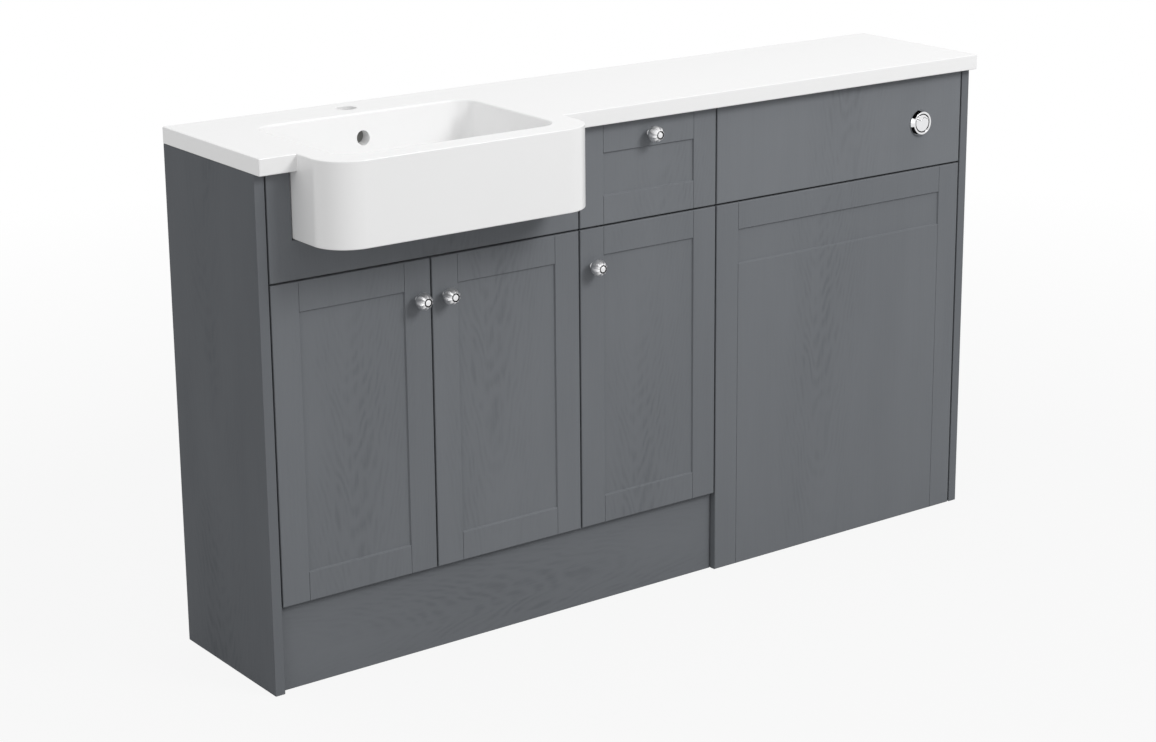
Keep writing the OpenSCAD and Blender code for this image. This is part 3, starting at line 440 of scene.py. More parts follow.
slotOf = {part["node"]: part["material_slot"] for part in frame["record"]["subparts"]}
bodyOf = {node: body for body, held in frame["record"]["behaviour"]["bodies"].items() for node in held}


def finishOf(node):
    return foil[node] if node in foil else even[lookOfSlot[slotOf[node]]]


for node in slotOf:
    mesh = nodes[node].data
    mesh.materials.clear()
    mesh.materials.append(finishOf(node))
print("materials built and put on the CAD nodes")


def meshFromGrids(name, grids):
    # Each grid is rows of points whose columns close on themselves. Quads join neighbouring rows,
    # and one flat face closes the first row and one the last.
    points, faces, start = [], [], 0
    for grid in grids:
        rows, columns = grid.shape[:2]
        index = start + np.arange(rows * columns).reshape(rows, columns)
        ring = np.roll(index, -1, axis=1)
        quads = np.stack([index[:-1], ring[:-1], ring[1:], index[1:]], axis=-1).reshape(-1, 4)
        faces += quads.tolist() + [index[0, ::-1].tolist(), index[-1].tolist()]
        points.append(grid.reshape(-1, 3))
        start += rows * columns
    mesh = bpy.data.meshes.new(name)
    mesh.from_pydata(np.concatenate(points).tolist(), [], faces)
    mesh.polygons.foreach_set("use_smooth", np.ones(len(faces), bool))
    piece = bpy.data.objects.new(name, mesh)
    scene.collection.objects.link(piece)
    return piece


def setPaintedShadeAndEdge(piece, share):
    # how far each point of the piece has the material's other colour, 0 to 1
    paintedShadeAndEdge = piece.data.attributes.new("paintedShadeAndEdge", "FLOAT", "POINT")
    paintedShadeAndEdge.data.foreach_set("value", np.asarray(share, np.float32).ravel())


def evenNormals(piece, sharpAngle):
    # edges steeper than the angle stay sharp, and flat faces keep their own shading
    piece.data.set_sharp_from_angle(angle=sharpAngle * pi / 180)
    weigh = piece.modifiers.new("evenNormals", "WEIGHTED_NORMAL")
    weigh.keep_sharp = True
    weigh.weight = 100


def standFor(piece, node):
    # the piece takes a CAD node's place, body and material, and the node is hidden
    piece.data.materials.clear()
    piece.data.materials.append(finishOf(node))
    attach(piece, bodyOf[node])
    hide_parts(node)


def softCorners(corners, radii, steps=5):
    # A profile through the corner points, each turned by an arc of its radius: the arc starts and
    # ends at radius * tan(half the turn) from the corner, and its points are the circle's own.
    corners = np.array(corners, float)
    parts = [corners[:1]]
    for before, here, after, radius in zip(corners[:-2], corners[1:-1], corners[2:], radii):
        back = (before - here) / np.linalg.norm(before - here)
        on = (after - here) / np.linalg.norm(after - here)
        half = np.arccos(np.clip(back @ on, -1, 1)) / 2
        middle = here + (back + on) / np.linalg.norm(back + on) * radius / np.sin(half)
        first = here + back * radius / np.tan(half) - middle
        last = here + on * radius / np.tan(half) - middle
        sweep = np.arctan2(first[0] * last[1] - first[1] * last[0], first @ last)
        turn = np.linspace(0, sweep, steps)[:, None]
        parts.append(middle + np.cos(turn) * first + np.sin(turn) * np.array([-first[1], first[0]]))
    return np.concatenate(parts + [corners[-1:]])


def spin(profile, centre, axis, sides, cut=None):
    # Point = centre + axis * height + radius * (cos a, sin a) across the axis, where the profile
    # gives radius and height, and cut(profile, a) may take something off the radius. The axis is
    # square to X.
    angle = np.arange(sides) * 2 * pi / sides
    axis = np.array(axis, float)
    across = np.array([1.0, 0, 0])
    other = np.cross(axis, across)
    radius = np.repeat(profile[:, :1], sides, axis=1)
    if cut is not None:
        radius = radius - cut(profile, angle)
    turn = angle[None, :, None]
    around = radius[..., None] * (np.cos(turn) * across + np.sin(turn) * other)
    return np.array(centre) + around + profile[:, None, 1:] * axis


def roundedBlock(box, corners, edge, arcSteps, edgeSteps):
    # A block whose plan is a rectangle with quarter circles at its corners, radius corners[0] in
    # front and corners[1] behind. Each row is the plan drawn in by edge * (1 - cos t) while the
    # height goes edge * (1 - sin t) from the end, so both ends are rounded over.
    turn = np.linspace(0, pi / 2, edgeSteps)
    low = np.stack([-edge * (1 - np.sin(turn)), edge * (1 - np.cos(turn))], axis=-1)
    grow = np.concatenate([low[:, 0], low[::-1, 0]])
    height = np.concatenate([box[4] + low[:, 1], box[5] - low[::-1, 1]])
    return planRows(box, corners, grow, height, arcSteps)


def planRows(box, corners, grow, height, arcSteps):
    # rows of a rounded rectangle grown by grow, at the heights given; a corner's radius grows with
    # it and is never under the least
    least = 0.1 * mm
    x0, x1, y0, y1 = box[:4]
    grow, height = grow[:, None], height[:, None]
    plan = []
    for sideX, sideY, start in ((1, -1, -pi / 2), (1, 1, 0), (-1, 1, pi / 2), (-1, -1, pi)):
        radius = np.maximum(corners[0 if sideY < 0 else 1] + grow, least)
        middleX = (x1 if sideX > 0 else x0) + sideX * (grow - radius)
        middleY = (y1 if sideY > 0 else y0) + sideY * (grow - radius)
        turn = start + np.linspace(0, pi / 2, arcSteps)[None, :]
        plan.append(np.stack([middleX + radius * np.cos(turn), middleY + radius * np.sin(turn),
                              height + 0 * turn], axis=-1))
    return np.concatenate(plan, axis=1)


def carve(base, joins, cuts):
    # exact Booleans one after another, then the tools are thrown away
    for operation, tools in (("UNION", joins), ("DIFFERENCE", cuts)):
        for tool in tools:
            step = base.modifiers.new(tool.name, "BOOLEAN")
            step.operation = operation
            step.solver = "EXACT"
            step.object = tool
    graph = bpy.context.evaluated_depsgraph_get()
    carved = bpy.data.meshes.new_from_object(base.evaluated_get(graph))
    base.modifiers.clear()
    base.data = carved
    for tool in (*joins, *cuts):
        bpy.data.objects.remove(tool)


cutPast = 10 * mm   # how far a cutter runs on past the face that it opens
lipTurn = pi / 2 * 0.98   # a lip stops just short of running flat into the face around it

topShape = {
    "slabThick": 28 * mm, "slabEdge": 1.8 * mm, "slabCorner": 2.5 * mm,
    "basinX": (-703 * mm, -197 * mm), "basinAhead": 104 * mm, "basinBack": 134 * mm, "basinHeight": 140 * mm,
    "basinCorners": (61 * mm, 20 * mm), "basinEdge": 2 * mm,
    "bowl": (-657 * mm, -243 * mm, -165 * mm, 118 * mm), "bowlDepth": 118 * mm, "bowlCorner": 38 * mm,
    "bowlDraft": 12 * mm, "floorRound": 28 * mm, "rimRound": 4 * mm,
    "tapRadius": 17.5 * mm, "tapBack": 166 * mm, "tapLip": 1.2 * mm,
    "wasteRadius": 22.5 * mm, "wasteLip": 1 * mm,
    "seatRadius": 32.5 * mm, "seatDrop": 3 * mm, "seatLip": 1.5 * mm,
    "overflowRadius": 12.5 * mm, "overflowDrop": 43 * mm, "overflowFrom": 30 * mm, "overflowPast": 1 * mm,
    "floorRows": 12, "wallRows": 6, "rimRows": 8, "bowlArc": 16, "basinArc": 28, "edgeRows": 5,
}


def bowlRows(shape, top):
    # The bowl's wall leans in by its draft from the rim to the floor's rounding, a quarter circle.
    # Above, the rim rolls over by a quarter circle outwards and runs on past the top face.
    rim, floorRound, draft = shape["rimRound"], shape["floorRound"], shape["bowlDraft"]
    floor = top - shape["bowlDepth"]
    low = np.linspace(0, pi / 2, shape["floorRows"])
    wall = np.linspace(0, 1, shape["wallRows"])[1:-1]
    roll = np.linspace(0, lipTurn, shape["rimRows"])
    grow = np.concatenate([-draft - floorRound + floorRound * np.sin(low), -draft * (1 - wall),
                           rim * (1 - np.cos(roll)), [rim * (1 - np.cos(roll[-1]))]])
    height = np.concatenate([floor + floorRound * (1 - np.cos(low)),
                             floor + floorRound + wall * (top - rim - floor - floorRound),
                             top - rim + rim * np.sin(roll), [top + cutPast]])
    return planRows(shape["bowl"], (shape["bowlCorner"],) * 2, grow, height, shape["bowlArc"])


def plug(name, centre, axis, radius, low, high, lip=0.0, lipRows=6, sides=72):
    # a round cutter; with a lip its mouth at high opens by a quarter circle
    rows = [(radius, low), (radius, high - lip)]
    if lip:
        turn = np.linspace(0, lipTurn, lipRows)[1:]
        rows += [(radius + lip * (1 - np.cos(t)), high - lip + lip * np.sin(t)) for t in turn]
    rows.append((rows[-1][0], high + cutPast))
    return meshFromGrids(name, [spin(np.array(rows), centre, axis, sides)])


def buildTop(shape):
    # the slab joined with the basin's block, less the bowl, the tap hole, the waste hole with its
    # wider seat, and the overflow hole
    low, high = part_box("basin_top")
    top, front, back = high[2], low[1] + shape["basinAhead"], high[1]
    under = top - shape["basinHeight"]
    floor = top - shape["bowlDepth"]
    seat = floor - shape["seatDrop"]
    x0, x1, y0, y1 = shape["bowl"]
    middleX, middleY = (x0 + x1) / 2, (y0 + y1) / 2
    slabBox = (low[0], high[0], front, back, top - shape["slabThick"], top)
    basinBox = (*shape["basinX"], low[1], shape["basinBack"], under, top)
    slab = meshFromGrids("basinTop", [roundedBlock(
        slabBox, (shape["slabCorner"],) * 2, shape["slabEdge"], shape["edgeRows"], shape["edgeRows"])])
    block = meshFromGrids("basinBlock", [roundedBlock(
        basinBox, shape["basinCorners"], shape["basinEdge"], shape["basinArc"], shape["edgeRows"])])
    cuts = [
        meshFromGrids("bowlTool", [bowlRows(shape, top)]),
        plug("tapTool", (middleX, shape["tapBack"], 0), (0, 0, 1), shape["tapRadius"],
             top - 2 * shape["slabThick"], top, shape["tapLip"]),
        plug("wasteTool", (middleX, middleY, 0), (0, 0, 1), shape["wasteRadius"],
             under - cutPast, seat, shape["wasteLip"]),
        plug("wasteSeatTool", (middleX, middleY, 0), (0, 0, 1), shape["seatRadius"],
             seat, floor, shape["seatLip"]),
        plug("overflowTool", (middleX, 0, top - shape["overflowDrop"]), (0, 1, 0), shape["overflowRadius"],
             y1 - shape["overflowFrom"], shape["basinBack"] + shape["overflowPast"]),
    ]
    carve(slab, [block], cuts)
    slab.data.polygons.foreach_set("use_smooth", np.ones(len(slab.data.polygons), bool))
    evenNormals(slab, sharpAngle=35)
    standFor(slab, "basin_top")


buildTop(topShape)
print("top and basin built")

boardEdge = {"end_panel_left": 1 * mm, "end_panel_right": 1 * mm, "plinth": 0.8 * mm}
edgeSteps = 4
for node, edge in boardEdge.items():
    low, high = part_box(node)
    box = (low[0], high[0], low[1], high[1], low[2], high[2])
    board = meshFromGrids(node.replace("_", "-") + "-board", [roundedBlock(
        box, (edge, edge), edge, edgeSteps, edgeSteps)])
    if node != "plinth":
        # the front edge keeps a plain grey of its own, so that the left panel's low tone, painted shade on
        # its side face, stops short of it
        setPaintedShadeAndEdge(board, [point.co.y < low[1] + edge / 4 for point in board.data.vertices])
    evenNormals(board, sharpAngle=40)
    standFor(board, node)
print("end panels and plinth built")

frontShape = {
    "edge": 2 * mm, "stile": 50 * mm, "band": 64 * mm,
    "recess": 3.5 * mm, "lip": 1 * mm, "slope": 0.8 * mm, "fillet": 1.2 * mm,
    "jointWide": 1 * mm, "jointPast": 1 * mm, "jointAhead": 0.05 * mm, "screwHole": 2.2 * mm,
    "cupRadius": 17.5 * mm, "cupDepth": 12.5 * mm, "cupIn": 22.5 * mm, "cupEnd": 100 * mm,
    "edgeRows": 6, "lipRows": 5,
}
# the side of each shaker front that its hinges are on, -1 for the left, and its knob
frontFittings = {
    "door_left": (-1, "knob_left"), "door_right": (1, "knob_right"), "door_narrow": (1, "knob_narrow"),
    "drawer_front": (0, "knob_drawer"), "wc_front_panel": (0, None),
}


def frontRows(low, high, inner, shape):
    # Rectangles drawn in from the front's outline, each at its own depth: back, eased edge (a
    # quarter circle), face, then the recess: rounded lip, sloping wall, rounded foot. From the lip
    # on they are drawn in by inner (left, right, bottom, top) as well.
    turn = np.linspace(0, pi / 2, shape["edgeRows"])
    lean = np.arctan2(shape["slope"], shape["recess"])
    over = np.linspace(0, pi / 2 - lean, shape["lipRows"])
    under = over[::-1]
    edge, lip, fillet = shape["edge"], shape["lip"], shape["fillet"]
    eased = np.stack([edge * (1 - np.cos(turn)), edge * (1 - np.sin(turn))], axis=-1)
    outer = np.concatenate([[(0, high[1] - low[1])], eased])
    top = np.stack([lip * np.sin(over) - lip, lip * (1 - np.cos(over))], axis=-1)
    foot = np.stack([shape["slope"] + fillet * (1 - np.sin(under)),
                     shape["recess"] - fillet * (1 - np.cos(under))], axis=-1)
    rows = []
    for steps, start in ((outer, (0, 0, 0, 0)), (np.concatenate([top, foot]), inner)):
        for draw, deep in steps:
            left, right, bottom, above = (v + draw for v in start)
            y = low[1] + deep
            rows.append([(low[0] + left, y, low[2] + bottom), (high[0] - right, y, low[2] + bottom),
                         (high[0] - right, y, high[2] - above), (low[0] + left, y, high[2] - above)])
    return np.array(rows)


def jointTool(x, face, z0, z1, shape):
    # a V-shaped cutter up the face of a front, as deep as it is wide
    wide, ahead = shape["jointWide"], shape["jointAhead"]
    half = wide / 2 + ahead / 2
    section = [(x - half, face - ahead), (x + half, face - ahead), (x, face + wide)]
    return meshFromGrids("jointTool", [np.array([[(a, b, z) for a, b in section] for z in (z0, z1)])])


def buildFront(node, hinged, knob, shape):
    # The board with its recess, less the V lines where rails meet stiles, the blind bores for the
    # hinge cups in its back and the knob's screw hole.
    low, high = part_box(node)
    stile, height = shape["stile"], high[2] - low[2]
    # the toilet panel's recess is only a band under its top rail
    lowest = height - stile - shape["band"] if node == "wc_front_panel" else stile
    rows = frontRows(low, high, (stile, stile, lowest, stile), shape)
    front = meshFromGrids(node.replace("_", "-") + "-shaker", [rows])
    cuts = []
    for x in (low[0] + stile, high[0] - stile):
        cuts.append(jointTool(x, low[1], low[2] - shape["jointPast"], low[2] + lowest, shape))
        cuts.append(jointTool(x, low[1], high[2] - stile, high[2] + shape["jointPast"], shape))
    if hinged:
        x = (low[0] if hinged < 0 else high[0]) - hinged * shape["cupIn"]
        for z in (low[2] + shape["cupEnd"], high[2] - shape["cupEnd"]):
            cuts.append(plug("cupTool", (x, 0, z), (0, 1, 0), shape["cupRadius"],
                             high[1] - shape["cupDepth"], high[1]))
    if knob:
        small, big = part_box(knob)
        place = ((small[0] + big[0]) / 2, 0, (small[2] + big[2]) / 2)
        cuts.append(plug("screwTool", place, (0, 1, 0), shape["screwHole"], low[1] - cutPast, high[1]))
    carve(front, [], cuts)
    evenNormals(front, sharpAngle=34)
    standFor(front, node)


for node, (hinged, knob) in frontFittings.items():
    buildFront(node, hinged, knob, frontShape)
print("shaker fronts built")

knobShape = {
    "footRadius": 5.4 * mm, "footDepth": 1.2 * mm, "neckRadius": 4.4 * mm, "faceRadius": 7.5 * mm,
    "grooveIn": 5.0 * mm, "grooveOut": 7.0 * mm, "grooveDepth": 3.4 * mm, "faceSag": 0.3 * mm,
    "slant": 0.3 * mm, "pole": 0.3 * mm, "footRise": 0.6 * mm,
    "footRounds": (0.2, 0.6, 0.5), "faceRounds": (0.5, 0.2, 0.55, 0.55, 0.3, 6),
    "flutes": 10, "fluteDepth": 1.8 * mm, "fluteShare": 0.96, "fluteLead": 1.5 * mm, "fluteRun": 0.86,
    "flutePower": 0.8, "fluteEdge": 1 * mm, "sidesEach": 12, "ballRows": 34,
    "crownAt": 0.55, "crownSag": 0.12, "paintedShadeIn": 0.4 * mm, "paintedShadeOut": 0.1 * mm, "paintedShadeLip": 0.05 * mm,
}


def knobProfile(shape, ball, out):
    # Foot and neck, then the ball's circle up to its flat, a groove with steep walls and a round
    # bottom, and the flat's crowned middle. Radius and height of each point, from the door outwards.
    flat, neck, foot = shape["faceRadius"], shape["neckRadius"], shape["footRadius"]
    middle = out - np.sqrt(ball ** 2 - flat ** 2)
    turn = np.linspace(-np.arccos(neck / ball), np.arccos(flat / ball), shape["ballRows"])
    arc = np.stack([ball * np.cos(turn), middle + ball * np.sin(turn)], axis=-1)
    base = softCorners([(shape["pole"], 0), (foot, 0), (foot, shape["footDepth"]),
                        (neck, shape["footDepth"] + shape["footRise"]), tuple(arc[0])],
                       np.array(shape["footRounds"]) * mm, 4)
    inside, outside, slant = shape["grooveIn"], shape["grooveOut"], shape["slant"]
    bottom, sag = out - shape["grooveDepth"], shape["faceSag"]
    face = softCorners([tuple(arc[-1]), (flat - slant, out), (outside, out), (outside - slant, bottom),
                        (inside + slant, bottom), (inside, out - sag),
                        (inside * shape["crownAt"], out - shape["crownSag"] * sag), (shape["pole"], out)],
                       np.array(shape["faceRounds"]) * mm, 5)
    return np.concatenate([base[:-1], arc, face[1:]]), middle


def buildKnob(node, shape):
    # the knob's profile spun round its screw's axis, less the flutes
    low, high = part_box(node)
    ball = (high[0] - low[0]) / 2
    out = high[1] - low[1]
    profile, middle = knobProfile(shape, ball, out)

    def flutes(profile, angle):
        # off the radius: depth * (1 - u * u), u running from -1 to 1 over a flute's width, faded in
        # from the ball's widest place forwards, and none on the foot, neck or face
        pitch = 2 * pi / shape["flutes"]
        u = ((angle + pitch / 2) % pitch - pitch / 2) / (pitch / 2 * shape["fluteShare"])
        across = np.clip(1 - u ** 2, 0, 1)
        start = middle - shape["fluteLead"]
        ahead = np.clip((profile[:, 1] - start) / (out - start), 0, 1)
        along = np.sin(pi * np.minimum(ahead * shape["fluteRun"], 1)) ** shape["flutePower"]
        outer = np.clip((profile[:, 0] - shape["grooveOut"] - shape["slant"]) / shape["fluteEdge"], 0, 1)
        return shape["fluteDepth"] * (along * outer)[:, None] * across[None, :]

    centre = ((low[0] + high[0]) / 2, high[1], (low[2] + high[2]) / 2)
    sides = shape["flutes"] * shape["sidesEach"]
    surface = spin(profile, centre, (0, -1, 0), sides, flutes)
    knob = meshFromGrids(node.replace("_", "-") + "-fluted", [surface])
    # the groove's floor and outer wall carry painted shade, near black, standing for the groove's shadow and
    # dark reflection, and small margins keep its lips in plain pewter
    radius, height = profile[:, 0], profile[:, 1]
    dark = (radius > shape["grooveIn"] + shape["paintedShadeIn"]) & (radius < shape["grooveOut"] + shape["paintedShadeOut"])
    dark &= (height < out - shape["paintedShadeLip"]) & (height > out - 2 * shape["grooveDepth"])
    setPaintedShadeAndEdge(knob, np.repeat(dark, sides))
    evenNormals(knob, sharpAngle=45)
    standFor(knob, node)


for node in ("knob_left", "knob_right", "knob_narrow", "knob_drawer"):
    buildKnob(node, knobShape)
print("knobs built")

buttonShape = {
    "discRadius": 17.5 * mm, "discStep": 1.6 * mm, "stepDepth": 2.2 * mm, "stepLip": 0.1 * mm,
    "discEdge": 0.6 * mm, "splitEdge": 0.35 * mm, "blendOver": 3 * mm, "onRim": 0.999,
    "splitUp": 8 * mm, "waveHeight": 3.0 * mm, "waveLength": 20 * mm, "gap": 0.5 * mm,
    "lineSteps": 60, "upperArc": 72, "lowerArc": 120, "edgeRows": 7,
    "rimRadius": 21.5 * mm, "flangeRadius": 25 * mm, "boreRadius": 17.8 * mm, "barrelRadius": 19.5 * mm,
    "flangeEdge": 2 * mm, "boreFloor": 8 * mm, "pole": 0.3 * mm,
    "rounds": (0.5, 0.05, 0.1, 0.5, 0.6, 0.6, 0.3),
    "spigotRadius": 2.4 * mm, "spigotOff": 7 * mm, "spigotLength": 11.5 * mm, "spigotTip": 0.4 * mm,
    "spigotSunk": 0.5 * mm, "spigotNose": 0.8, "bezelSides": 128, "spigotSides": 32,
}


def splitLine(shape, x):
    # height of the wavy line between the discs: a sine wave that dies away to the rim at both ends
    reach = shape["discRadius"] ** 2 - shape["splitUp"] ** 2
    fade = np.clip(1 - x ** 2 / reach, 0, 1)
    return shape["splitUp"] + shape["waveHeight"] * np.sin(2 * pi * x / shape["waveLength"]) * fade


def discOutline(shape, upper):
    # The wavy line from one side of the circle to the other, closed by the circle's arc. The lower
    # disc's line is the upper's shifted by the gap measured square to it: gap * sqrt(1 + slope^2).
    radius, shift = shape["discRadius"], 0 if upper else -shape["gap"]
    reach = np.sqrt(radius ** 2 - (shape["splitUp"] + shift) ** 2)
    x = np.linspace(-reach, reach, shape["lineSteps"])
    line = np.stack([x, splitLine(shape, x) + shift], axis=-1)
    slope = np.gradient(line[:, 1], x)
    if not upper:
        line[1:-1] += (shape["gap"] * (1 - np.sqrt(1 + slope ** 2)))[1:-1, None] * np.array([0, 1])
    start = np.arctan2(shape["splitUp"] + shift, reach)
    stop, count = (pi - start, shape["upperArc"]) if upper else (-pi - start, shape["lowerArc"])
    turn = np.linspace(start, stop, count)[1:-1]
    arc = radius * np.stack([np.cos(turn), np.sin(turn)], axis=-1)
    outline = np.concatenate([line, arc])
    return outline if upper else outline[::-1]


def buildDisc(node, shape, upper):
    # Rows of the outline from the back to the front. On the arc, not along the wavy line, the disc
    # is drawn in by a step behind its face, whose floor carries painted shade, near black, for the dark gap
    # round the disc. The front edge is a quarter circle.
    low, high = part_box("flush_bezel")
    centre = ((low[0] + high[0]) / 2, (low[2] + high[2]) / 2)
    front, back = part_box(node)[0][1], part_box(node)[1][1]
    outline = discOutline(shape, upper)
    along = np.roll(outline, -1, axis=0) - np.roll(outline, 1, axis=0)
    inward = np.stack([-along[:, 1], along[:, 0]], axis=-1) / np.linalg.norm(along, axis=1)[:, None]
    turn = np.linspace(0, pi / 2, shape["edgeRows"])[:, None]
    rim = np.linalg.norm(outline, axis=1) > shape["discRadius"] * shape["onRim"]
    apart = np.abs(outline[:, 1] - splitLine(shape, outline[:, 0]))
    blend = np.where(rim, np.clip(apart / shape["blendOver"], 0, 1), 0)
    edge = (shape["splitEdge"] + (shape["discEdge"] - shape["splitEdge"]) * blend)[None, :]
    step = shape["discStep"] * blend[None, :]
    floor = front + shape["stepDepth"] + 0 * edge
    draw = np.concatenate([0 * step, 0 * step, step, step, step + edge * (1 - np.cos(turn))])
    faceEdge = front + edge * (1 - np.sin(turn))
    depth = np.concatenate([back + 0 * edge, floor, floor, floor - shape["stepLip"], faceEdge])
    plan = outline[None] + draw[..., None] * inward[None]
    grid = np.stack([centre[0] + plan[..., 0], depth, centre[1] + plan[..., 1]], axis=-1)
    disc = meshFromGrids(node.replace("_", "-") + "-disc", [grid])
    # painted shade on the step's floor, where the gap round the disc is dark
    dark = np.zeros(depth.shape, np.float32)
    dark[1:3] = blend
    setPaintedShadeAndEdge(disc, dark)
    evenNormals(disc, sharpAngle=50)
    standFor(disc, node)


def buildBezel(shape):
    # a cup spun round the button's axis: back, barrel, flange, bevelled rim, then down the bore
    low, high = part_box("flush_bezel")
    centre = ((low[0] + high[0]) / 2, high[1], (low[2] + high[2]) / 2)
    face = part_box("wc_access_panel")[0][1]
    behind, wall, proud = shape["spigotLength"], high[1] - face, high[1] - low[1]
    floor, pole = behind + shape["boreFloor"], shape["pole"]
    barrel, flange = shape["barrelRadius"], shape["flangeRadius"]
    bore, spigot = shape["boreRadius"], shape["spigotRadius"]
    corners = [(pole, behind), (barrel, behind), (barrel, wall), (flange, wall),
               (flange, wall + shape["flangeEdge"]), (shape["rimRadius"], proud), (bore, proud),
               (bore, floor), (pole, floor)]
    profile = softCorners(corners, np.array(shape["rounds"]) * mm)
    parts = [spin(profile, centre, (0, -1, 0), shape["bezelSides"])]
    stem = np.array([(spigot * shape["spigotNose"], 0), (spigot, shape["spigotTip"]),
                     (spigot, behind + shape["spigotSunk"])])
    for side in (-1, 1):
        place = (centre[0] + side * shape["spigotOff"], centre[1], centre[2])
        parts.append(spin(stem, place, (0, -1, 0), shape["spigotSides"]))
    bezel = meshFromGrids("flush-bezel-ring", parts)
    evenNormals(bezel, sharpAngle=40)
    standFor(bezel, "flush_bezel")


buildBezel(buttonShape)
buildDisc("flush_button_full", buttonShape, False)
buildDisc("flush_button_half", buttonShape, True)
print("flush button built")


def buildHose(name, route, shape):
    # The tube's rows start inside the first sleeve's bore, come out of it over the rounded end, run
    # along the outside and go back into the last sleeve's bore. The radius swells over each spigot.
    path = smoothRoute(route, shape["spanSteps"])
    total = float(np.linalg.norm(np.diff(path, axis=0), axis=1).sum())
    turn = np.linspace(0, pi / 2, shape["lipRows"])
    edge, radius, sleeve = shape["edge"], shape["radius"], shape["sleeveRadius"]
    bore = np.array([(shape["boreDepth"], shape["boreRadius"]), (edge, shape["boreRadius"]),
                     (0, shape["boreRadius"] + shape["boreFlare"])])
    lip = np.stack([edge * (1 - np.sin(turn)), sleeve - edge * (1 - np.cos(turn))], axis=-1)[::-1]
    taper = np.linspace(0, 1, shape["taperRows"])
    swell = np.stack([shape["sleeveLength"] + shape["sleeveTaper"] * taper,
                      radius + (sleeve - radius) * np.cos(taper * pi / 2) ** 2], axis=-1)
    first = np.concatenate([bore, lip, swell])
    plain = np.linspace(swell[-1, 0], total - swell[-1, 0], shape["plainRows"])[1:-1]
    body = np.stack([plain, np.full(len(plain), radius)], axis=-1)
    last = first[::-1] * np.array([-1, 1]) + np.array([total, 0])
    rows = np.concatenate([first, body, last])
    hose = meshFromGrids(name, [tubeRings(path, rows[:, 0], rows[:, 1], shape["sides"])])
    evenNormals(hose, sharpAngle=50)
    standFor(hose, "flush_hoses")
    print(name, round(total, 4), "m long")


for name, route in hoseRoutes.items():
    buildHose(name, route, hoseShape)
print("air hoses built")

# each card of painted dark reflection runs from x to x and from y to y at one height
studio = {
    "ambientLow": 0.44, "ambientHigh": 0.86,
    "keyPlace": (1.52, -3.75, 3.5), "keySize": 1.7, "keyPower": 112,
    "fillPlace": (-4.2, -1.3, 1.9), "fillSize": 2.4, "fillPower": 20,
    "floorColour": 172, "floorRough": 0.9, "floorSize": 14, "floorGlow": 0.9, "fadeFrom": 1.2, "fadeTo": 3.4,
    "darkReflectionColour": 20, "aim": (0, 0, 0.45),
    "darkReflectionCards": ((0.545, 0.70, -0.17, -0.0885, 0.845), (0.56, 0.66, -0.15, -0.0885, 0.735)),
}


def seenByEye(tree):
    # 1 for camera, glossy and transmitted rays, 0 for the rays that light the object
    path = addNode(tree, "ShaderNodeLightPath").outputs
    direct = addMath(tree, "MAXIMUM", path["Is Camera Ray"], path["Is Glossy Ray"])
    return addMath(tree, "MAXIMUM", direct, path["Is Transmission Ray"])


def buildWorld():
    world = bpy.data.worlds.new("studioWorld")
    scene.world = world
    world.use_nodes = True
    tree = world.node_tree
    tree.nodes.clear()
    # the soft light grows from the horizon to straight above
    room = addNode(tree, "ShaderNodeBackground")
    room.inputs["Color"].default_value = (1, 1, 1, 1)
    apart = addNode(tree, "ShaderNodeSeparateXYZ")
    tree.links.new(addNode(tree, "ShaderNodeTexCoord").outputs["Generated"], apart.inputs["Vector"])
    rise = addRange(tree, apart.outputs["Z"], 0, 1, studio["ambientLow"], studio["ambientHigh"])
    tree.links.new(rise, room.inputs["Strength"])
    seen = addNode(tree, "ShaderNodeBackground")
    seen.inputs["Color"].default_value = (1, 1, 1, 1)
    mix = addNode(tree, "ShaderNodeMixShader")
    tree.links.new(seenByEye(tree), mix.inputs[0])
    tree.links.new(room.outputs[0], mix.inputs[1])
    tree.links.new(seen.outputs[0], mix.inputs[2])
    tree.links.new(mix.outputs[0], addNode(tree, "ShaderNodeOutputWorld").inputs["Surface"])


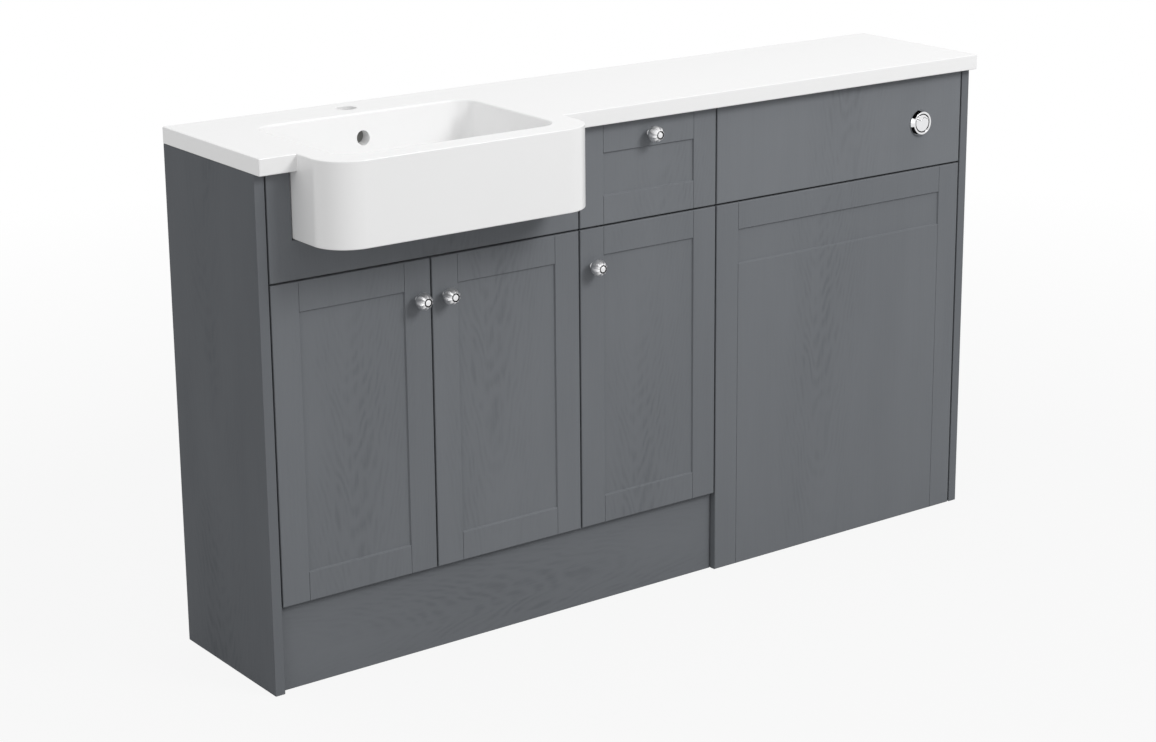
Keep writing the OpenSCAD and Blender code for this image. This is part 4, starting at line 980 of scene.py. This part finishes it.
def buildFloor():
    # pale and matt near the object, where it takes the shadow, and plain white further off
    half = studio["floorSize"] / 2
    corners = [(-half, -half, 0), (half, -half, 0), (half, half, 0), (-half, half, 0)]
    mesh = bpy.data.meshes.new("studioFloor")
    mesh.from_pydata(corners, [], [(0, 1, 2, 3)])
    material, tree, shader = startMaterial("floorWhite", {
        "Base Color": screenColour(*(studio["floorColour"],) * 3), "Roughness": studio["floorRough"],
        "Specular IOR Level": 0})
    glow = addNode(tree, "ShaderNodeEmission")
    place = addNode(tree, "ShaderNodeTexCoord")
    away = addNode(tree, "ShaderNodeVectorMath", operation="LENGTH")
    tree.links.new(place.outputs["Object"], away.inputs[0])
    distance = away.outputs["Value"]
    share = addRange(tree, distance, studio["fadeFrom"], studio["fadeTo"], studio["floorGlow"], 1)
    mix = addNode(tree, "ShaderNodeMixShader")
    tree.links.new(addMath(tree, "MULTIPLY", seenByEye(tree), share), mix.inputs[0])
    tree.links.new(shader.outputs[0], mix.inputs[1])
    tree.links.new(glow.outputs[0], mix.inputs[2])
    tree.links.new(mix.outputs[0], tree.nodes["Material Output"].inputs["Surface"])
    mesh.materials.append(material)
    floor = bpy.data.objects.new("studioFloor", mesh)
    scene.collection.objects.link(floor)


def buildDarkReflectionCards():
    # small black cards over and under the flush button, which only polished metal sees: painted dark
    # reflections, standing in for the shade round the button
    points, faces = [], []
    for x0, x1, y0, y1, z in studio["darkReflectionCards"]:
        faces.append([len(points) + corner for corner in range(4)])
        points += [(x0, y0, z), (x1, y0, z), (x1, y1, z), (x0, y1, z)]
    mesh = bpy.data.meshes.new("paintedDarkReflection")
    mesh.from_pydata(points, [], faces)
    black = screenColour(*(studio["darkReflectionColour"],) * 3)
    mesh.materials.append(startMaterial("paintedDarkReflectionBlack", {"Base Color": black, "Specular IOR Level": 0})[0])
    darkCard = bpy.data.objects.new("paintedDarkReflection", mesh)
    for ray in ("camera", "diffuse", "shadow", "transmission"):
        setattr(darkCard, "visible_" + ray, False)
    scene.collection.objects.link(darkCard)


def addLamp(name, place, size, power):
    # a square lamp turned towards the aim: tilted from straight down, then swung round
    data = bpy.data.lights.new(name, "AREA")
    data.shape = "SQUARE"
    data.size = size
    data.energy = power
    lamp = bpy.data.objects.new(name, data)
    lamp.location = place
    away = np.array(studio["aim"]) - np.array(place)
    tilt = float(np.arctan2(np.hypot(away[0], away[1]), -away[2]))
    lamp.rotation_euler = (tilt, 0, float(np.arctan2(away[1], away[0])) - pi / 2)
    scene.collection.objects.link(lamp)


buildWorld()
buildFloor()
buildDarkReflectionCards()
addLamp("keyLamp", studio["keyPlace"], studio["keySize"], studio["keyPower"])
addLamp("fillLamp", studio["fillPlace"], studio["fillSize"], studio["fillPower"])
scene.view_settings.view_transform = "Standard"
print("studio lit")
